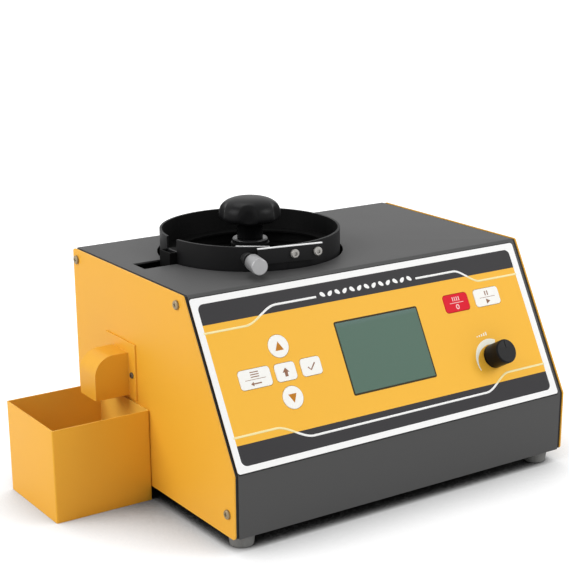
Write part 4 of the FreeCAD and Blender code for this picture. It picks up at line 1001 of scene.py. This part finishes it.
def stroke(points, wide):
    """The outline of a bent line of even width."""
    left = []
    right = []
    for index, point in enumerate(points):
        before = Vector(points[max(index - 1, 0)])
        after = Vector(points[min(index + 1, len(points) - 1)])
        along = (after - before).normalized()
        side = Vector((-along.y, along.x)) * wide / 2
        left.append(tuple(Vector(point) + side))
        right.append(tuple(Vector(point) - side))
    return left + list(reversed(right))


def bar(x, y, wide, high):
    return box_outline(x - wide / 2, x + wide / 2, y - high / 2, y + high / 2)


def arrow(wide, high):
    """The outline of an upward arrow round its middle."""
    stem = wide * 0.22
    neck = high * 0.02
    return [(-stem, -high / 2), (stem, -high / 2), (stem, -neck), (wide / 2, -neck), (0, high / 2),
            (-wide / 2, -neck), (-stem, -neck)]


# The outlines on each key, in millimetres from its middle
KEY_MARKS = {
    "key_up": [[(-3.9, -3.2), (3.9, -3.2), (0, 4.2)]],
    "key_down": [[(-3.9, 3.2), (0, -4.2), (3.9, 3.2)]],
    "key_menu": [bar(0, 5.4 - 1.9 * number, 7.6, 0.75) for number in range(3)] + [
        bar(0, -0.4, 19, 0.4),
        [(-5.2, -3.9), (-2.6, -2.1), (-2.6, -3.4), (4.6, -3.4), (4.6, -4.4), (-2.6, -4.4), (-2.6, -5.7)]],
    "key_shift": [arrow(6.4, 7.2)],
    "key_confirm": [stroke([(-3.4, 0.2), (-0.9, -2.4), (3.8, 2.9)], 1.15)],
    "key_reset": [bar(-3.3 + 2.2 * number, 3.7, 0.9, 3.6) for number in range(4)] + [bar(0, 0.3, 15, 0.5)],
    "key_pause": [bar(-1.3, 3.6, 1.1, 4.0), bar(1.3, 3.6, 1.1, 4.0), bar(0, 0, 17, 0.4),
                  [(-2.0, -5.9), (2.4, -3.6), (-2.0, -1.3)]],
}
KEY_INKS = {"key_up": "ochre_ink", "key_down": "ochre_ink", "key_reset": "pink_ink"}

# The zero on the reset key, outside and inside: half its width, low, high, corner
ZERO = ((1.75, -5.6, -1.2, 1.7), (0.85, -4.7, -2.1, 0.8))


class SEEDCOUNTER_OT_keys(bpy.types.Operator):
    """Finish the key caps and print a plain sign on each"""
    bl_idname = "seedcounter.keys"
    bl_label = "Keys"

    def execute(self, context):
        size = sizes()
        layer = size.ink_thick / MM
        for name, marks in KEY_MARKS.items():
            kind = "red" if name == "key_reset" else "white"
            dress(name, kind + "_key", size.edge_key, 3)
            across, up = node_middle(name)
            form = bmesh.new()
            for mark in marks:
                plate(form, [(across + x, up + y) for x, y in mark], KEY_TOP, KEY_TOP + layer)
            if name == "key_reset":
                outer, inner = [
                    rounded_outline(across - half, across + half, up + low, up + high, corner)
                    for half, low, high, corner in ZERO]
                ring_plate(form, outer, inner, KEY_TOP, KEY_TOP + layer)
            printed(name + "_sign", form, KEY_INKS.get(name, "brown_ink"), name)
        return {"FINISHED"}


class SEEDCOUNTER_OT_display(bpy.types.Operator):
    """Glaze the display window"""
    bl_idname = "seedcounter.display"
    bl_label = "Display"

    def execute(self, context):
        dress("lcd_lens", "screen_glass", 0.15 * MM)
        return {"FINISHED"}


class SEEDCOUNTER_OT_speed_knob(bpy.types.Operator):
    """Finish the speed knob and its shaft"""
    bl_idname = "seedcounter.speed_knob"
    bl_label = "Speed knob"

    def execute(self, context):
        dress("speed_knob", "glossy_black", sizes().edge_fine)
        paint("bright_steel", "potentiometer_shaft", "potentiometer_nut", "speed_potentiometer")
        return {"FINISHED"}


class SEEDCOUNTER_OT_bowl(bpy.types.Operator):
    """Finish the feed bowl, its spiral track and the outlet guide"""
    bl_idname = "seedcounter.bowl"
    bl_label = "Feed bowl"

    def execute(self, context):
        dress("feed_bowl", "bowl_plastic", sizes().edge_rim, 3)
        dress("outlet_guide", "guide_plastic", sizes().edge_fine)
        paint("track_plastic", "spiral_track")
        return {"FINISHED"}


# The clamp knob: its bore, stem, underside and dome, and how its scallops start and ease
KNOB_BORE = 4.06 * MM
KNOB_STEM = 11.2 * MM
KNOB_ROOT = 15 * MM
KNOB_DOME = 15.5 * MM
KNOB_UNDER = 5.6 * MM
KNOB_FULL = 0.75
FIRST_SCALLOP = -52.5
SCALLOP_SOFT = 4.5 * MM


def full(share):
    """A cosine or sine made fuller than a circle's."""
    return max(share, 0.0) ** KNOB_FULL


class SEEDCOUNTER_OT_clamp_knob(bpy.types.Operator):
    """Make the lobed clamp knob and finish the flange under it"""
    bl_idname = "seedcounter.clamp_knob"
    bl_label = "Clamp knob"

    def execute(self, context):
        low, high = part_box("clamp_knob")
        turn_at = joint("clamp_turn")["pos_m"]
        form = bmesh.new()
        lathe(form, self.section(low.z, high.z), Vector((turn_at[0], turn_at[1], 0)), 180, self.scalloped)
        knob = new_object("clamp_knob_lobed", solid_mesh(form, "clamp_knob_lobed", 50), "glossy_black",
                          "clamp")
        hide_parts("clamp_knob")
        dress("clamp_flange", "dark_steel", sizes().edge_fine, 3)
        paint("bright_steel", "clamp_stud")
        return {"FINISHED"}

    def section(self, foot, top):
        """Up the bore and down the stem's outside, then round the underside and the dome."""
        radius = sizes().knob_radius
        widest = top - KNOB_DOME
        bore_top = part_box("clamp_stud")[1].z + 1 * MM
        points = [(0.0, bore_top), (KNOB_BORE, bore_top), (KNOB_BORE, foot),
                  (KNOB_STEM - 0.5 * MM, foot), (KNOB_STEM, foot + 0.5 * MM),
                  (KNOB_STEM, widest - 8 * MM), (KNOB_STEM + 1.2 * MM, widest - 6.4 * MM)]
        for part in range(9):
            angle = math.radians(90 - 90 * part / 8)
            points.append((KNOB_ROOT + (radius - KNOB_ROOT) * full(math.cos(angle)),
                           widest - KNOB_UNDER * full(math.sin(angle))))
        for part in range(1, 18):
            angle = math.radians(90 * part / 18)
            points.append((radius * full(math.cos(angle)), widest + KNOB_DOME * full(math.sin(angle))))
        points.append((0.0, top))
        return points

    def scalloped(self, out, angle):
        """The radius at an angle, eased into the finger scallops."""
        size = sizes()
        centre = size.knob_radius + size.scallop_radius - size.scallop_deep
        step = 2 * math.pi / size.scallops
        away = (angle - math.radians(FIRST_SCALLOP) + step / 2) % step - step / 2
        reach = size.scallop_radius ** 2 - (centre * math.sin(away)) ** 2
        limit = size.knob_radius * 1.3
        if reach > 0:
            limit = centre * math.cos(away) - math.sqrt(reach)
        mix = min(max(0.5 + 0.5 * (limit - out) / SCALLOP_SOFT, 0), 1)
        return out * mix + limit * (1 - mix) - SCALLOP_SOFT * mix * (1 - mix) * 0.5


class SEEDCOUNTER_OT_gate(bpy.types.Operator):
    """Finish the gate: plate, strip, bush, tip, thumb screw and its two screws"""
    bl_idname = "seedcounter.gate"
    bl_label = "Gate"

    def execute(self, context):
        fine = sizes().edge_fine
        dress("gate_plate", "gate_plate_metal", fine)
        dress("gate_strip", "gate_strip_metal", 0.12 * MM)
        dress("gate_bush", "dull_black", fine)
        dress("gate_thumb_screw", "turned_steel", 0.2 * MM, 3)
        paint("nylon", "gate_tip")
        paint("bright_steel", "gate_screws")
        return {"FINISHED"}


def outward_spots(node, depth):
    """Seats of a node's screws whose heads look along X or Y, away from the case's middle."""
    spots = []
    for low, high in solids(node):
        size = high - low
        centre = (low + high) / 2
        axis = max(range(3), key=lambda number: abs(size[number] - sorted(size)[1]))
        sign = 1 if centre[axis] > 0 else -1
        way = Vector((0, 0, 0))
        way[axis] = sign
        seat = centre.copy()
        seat[axis] = (high if sign > 0 else low)[axis] - sign * depth
        spots.append((seat, way))
    return spots


# How high and wide the screw heads are, and the seeds of their turns
CASE_HEAD_HIGH = 2.2 * MM
CASE_HEAD_RADIUS = 3.8 * MM
CASE_SEED = 3
HOOD_HEAD_HIGH = 1.6 * MM
HOOD_HEAD_RADIUS = 2.6 * MM
HOOD_SEED = 5


class SEEDCOUNTER_OT_screws(bpy.types.Operator):
    """Set the pan heads of the case and hood screws, paint the foot screws"""
    bl_idname = "seedcounter.screws"
    bl_label = "Screws"

    def execute(self, context):
        head = screw_head()
        case = set_screws("case_screw_heads", outward_spots("case_screws", CASE_HEAD_HIGH),
                          CASE_HEAD_RADIUS, "case_screw", head, CASE_SEED)
        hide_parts("case_screws")
        # The hood's screw heads get painted shade for the shadow they sit in
        hood = set_screws("hood_screw_heads", outward_spots("hood_screws", HOOD_HEAD_HIGH),
                          HOOD_HEAD_RADIUS, "dull_screw", head, HOOD_SEED)
        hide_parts("hood_screws")
        paint("bright_steel", "foot_screws")
        bpy.data.objects.remove(head)
        return {"FINISHED"}


class SEEDCOUNTER_OT_outlet(bpy.types.Operator):
    """Paint the outlet hood, the chute and the collecting box"""
    bl_idname = "seedcounter.outlet"
    bl_label = "Outlet"

    def execute(self, context):
        dress("outlet_hood", "yellow_powder_coat", sizes().edge_fine, 3)
        dress("collecting_box", "box_powder_coat", 0.4 * MM, 3)
        paint("zinc_sheet", "inner_chute")
        return {"FINISHED"}


class SEEDCOUNTER_OT_mains(bpy.types.Operator):
    """Finish the mains inlet and the power switch at the rear"""
    bl_idname = "seedcounter.mains"
    bl_label = "Mains side"

    def execute(self, context):
        fine = sizes().edge_fine
        dress("power_inlet", "dull_black", fine)
        dress("switch_frame", "dull_black", fine)
        dress("power_rocker", "glossy_black", fine)
        return {"FINISHED"}


class SEEDCOUNTER_OT_inside(bpy.types.Operator):
    """Finish what works inside: drive, sensor, boards and display module"""
    bl_idname = "seedcounter.inside"
    bl_label = "Inner parts"

    def execute(self, context):
        paint("board_green", "panel_board", "control_board", "leaf_springs")
        paint("dull_black", "lcd_module", "key_switches", "sensor_channel", "sensor_emitter",
              "sensor_receiver")
        paint("nylon", "board_standoffs")
        paint("foot_rubber", "drive_isolators")
        paint("cast_base", "drive_base", "bowl_carrier")
        paint("core_stack", "magnet_core", "armature")
        paint("coil_copper", "magnet_coil")
        paint("zinc_sheet", "power_supply")
        return {"FINISHED"}


CAMERA_AT = (-0.65435, -0.99805, 0.4870)
CAMERA_YAW = 34.62
CAMERA_PITCH = 18.15
CAMERA_LENS = 92.0
SHIFT_ACROSS = -0.0478
SHIFT_UP = 0.1415

# Each soft lamp: place, target, size, watts
LAMPS = {
    "lamp_left": ((-1.6, 0.3, 1.1), (0, 0, 0.08), 1.2, 17.5),
    "lamp_top": ((0.0, 0.6, 1.5), (0, 0, 0.15), 0.8, 4.5),
    "lamp_front": ((1.4, -1.6, 1.5), (0, 0, 0.1), 1.2, 23.0),
}
WORLD_LIGHT = 0.5
FLOOR_REACH = 6.0
FLOOR_SHADE = (0.86, 0.86, 0.86)
# How far the floor's painted contact shadow reaches
SHADOW_PAINT_REACH = 0.12
GLOW = 1.6
GLOW_SHARE = 0.68


def seen_rays(tree):
    """One for rays that show a surface: straight, mirrored or through glass."""
    seen = add(tree, "ShaderNodeLightPath").outputs
    return sums(tree, "MAXIMUM", seen["Is Camera Ray"],
                sums(tree, "MAXIMUM", seen["Is Glossy Ray"], seen["Is Transmission Ray"]))


class SEEDCOUNTER_OT_stage(bpy.types.Operator):
    """Set the floor, the soft lamps and the camera"""
    bl_idname = "seedcounter.stage"
    bl_label = "Stage"

    def execute(self, context):
        scene = context.scene
        scene.view_settings.view_transform = "Standard"
        self.floor()
        self.world(scene)
        for name, row in LAMPS.items():
            self.lamp(scene, name, *row)
        self.camera(scene)
        return {"FINISHED"}

    def floor(self):
        form = bmesh.new()
        corners = box_outline(-FLOOR_REACH, FLOOR_REACH, -FLOOR_REACH, FLOOR_REACH)
        form.faces.new([form.verts.new((x, y, 0)) for x, y in corners])
        mesh = bpy.data.meshes.new("floor")
        form.to_mesh(mesh)
        form.free()
        floor = new_object("floor", mesh)
        material = bpy.data.materials.new("floor_white")
        material.use_nodes = True
        tree = material.node_tree
        shader = tree.nodes["Principled BSDF"]
        # Painted shadow on the floor: darker in colour and glow where ambient occlusion finds the case near
        near = add(tree, "ShaderNodeAmbientOcclusion", {"Distance": SHADOW_PAINT_REACH}, samples=8).outputs["AO"]
        painted_contact_shadow = ramp(tree, near, 0.22, 0.45)
        tree.links.new(blend_colours(tree, painted_contact_shadow, rgba((0, 0, 0)), rgba(FLOOR_SHADE)),
                       shader.inputs["Base Color"])
        shader.inputs["Roughness"].default_value = 0.55
        shader.inputs["Specular IOR Level"].default_value = 0.1
        strength = product(tree, sums(tree, "POWER", near, 1.4), painted_contact_shadow, GLOW)
        glow = add(tree, "ShaderNodeEmission", {"Strength": strength})
        share = product(tree, seen_rays(tree), GLOW_SHARE)
        mix = add(tree, "ShaderNodeMixShader", {0: share, 1: shader.outputs[0], 2: glow.outputs[0]})
        tree.links.new(mix.outputs[0], tree.nodes["Material Output"].inputs["Surface"])
        mesh.materials.append(material)

    def world(self, scene):
        world = bpy.data.worlds.new("studio")
        scene.world = world
        world.use_nodes = True
        tree = world.node_tree
        light = tree.nodes["Background"]
        light.inputs["Color"].default_value = (1, 1, 1, 1)
        light.inputs["Strength"].default_value = WORLD_LIGHT
        white = add(tree, "ShaderNodeBackground", {"Color": (1, 1, 1, 1), "Strength": 1.0})
        mix = add(tree, "ShaderNodeMixShader", {
            0: seen_rays(tree), 1: light.outputs[0], 2: white.outputs[0]})
        tree.links.new(mix.outputs[0], tree.nodes["World Output"].inputs["Surface"])

    def lamp(self, scene, name, place, target, size, watts):
        data = bpy.data.lights.new(name, "AREA")
        data.shape = "DISK"
        data.size = size
        data.energy = watts
        lamp = bpy.data.objects.new(name, data)
        scene.collection.objects.link(lamp)
        lamp.location = place
        aim = Vector(target) - Vector(place)
        lamp.rotation_euler = aim.to_track_quat("-Z", "Y").to_euler()

    def camera(self, scene):
        data = bpy.data.cameras.new("camera")
        data.sensor_width = 36
        data.lens = CAMERA_LENS
        data.shift_x = SHIFT_ACROSS
        data.shift_y = SHIFT_UP
        data.clip_start = 0.05
        camera = bpy.data.objects.new("camera", data)
        scene.collection.objects.link(camera)
        camera.location = CAMERA_AT
        camera.rotation_euler = (math.radians(90 - CAMERA_PITCH), 0, math.radians(-CAMERA_YAW))
        scene.camera = camera


OPERATORS = (
    SEEDCOUNTER_OT_stage, SEEDCOUNTER_OT_case, SEEDCOUNTER_OT_overlay, SEEDCOUNTER_OT_keys,
    SEEDCOUNTER_OT_display, SEEDCOUNTER_OT_speed_knob, SEEDCOUNTER_OT_bowl, SEEDCOUNTER_OT_clamp_knob,
    SEEDCOUNTER_OT_gate, SEEDCOUNTER_OT_screws, SEEDCOUNTER_OT_outlet, SEEDCOUNTER_OT_mains,
    SEEDCOUNTER_OT_inside,
)


class SEEDCOUNTER_PT_panel(bpy.types.Panel):
    """Sizes, colours and steps of the seed counter"""
    bl_idname = "SEEDCOUNTER_PT_panel"
    bl_label = "Seed counter"
    bl_space_type = "VIEW_3D"
    bl_region_type = "UI"
    bl_category = "Seed counter"

    def draw(self, context):
        layout = self.layout
        for group in (context.scene.seed_counter_sizes, context.scene.seed_counter_colours):
            box = layout.box()
            for name in group.__annotations__:
                box.prop(group, name)
        for step in OPERATORS:
            layout.operator(step.bl_idname)


CLASSES = (SeedCounterSizes, SeedCounterColours) + OPERATORS + (SEEDCOUNTER_PT_panel,)


def register():
    for item in CLASSES:
        bpy.utils.register_class(item)
    bpy.types.Scene.seed_counter_sizes = PointerProperty(type=SeedCounterSizes)
    bpy.types.Scene.seed_counter_colours = PointerProperty(type=SeedCounterColours)


def unregister():
    del bpy.types.Scene.seed_counter_colours
    del bpy.types.Scene.seed_counter_sizes
    for item in reversed(CLASSES):
        bpy.utils.unregister_class(item)


def main():
    register()
    for step in OPERATORS:
        space, name = step.bl_idname.split(".")
        getattr(getattr(bpy.ops, space), name)()


if __name__ == "__main__":
    main()
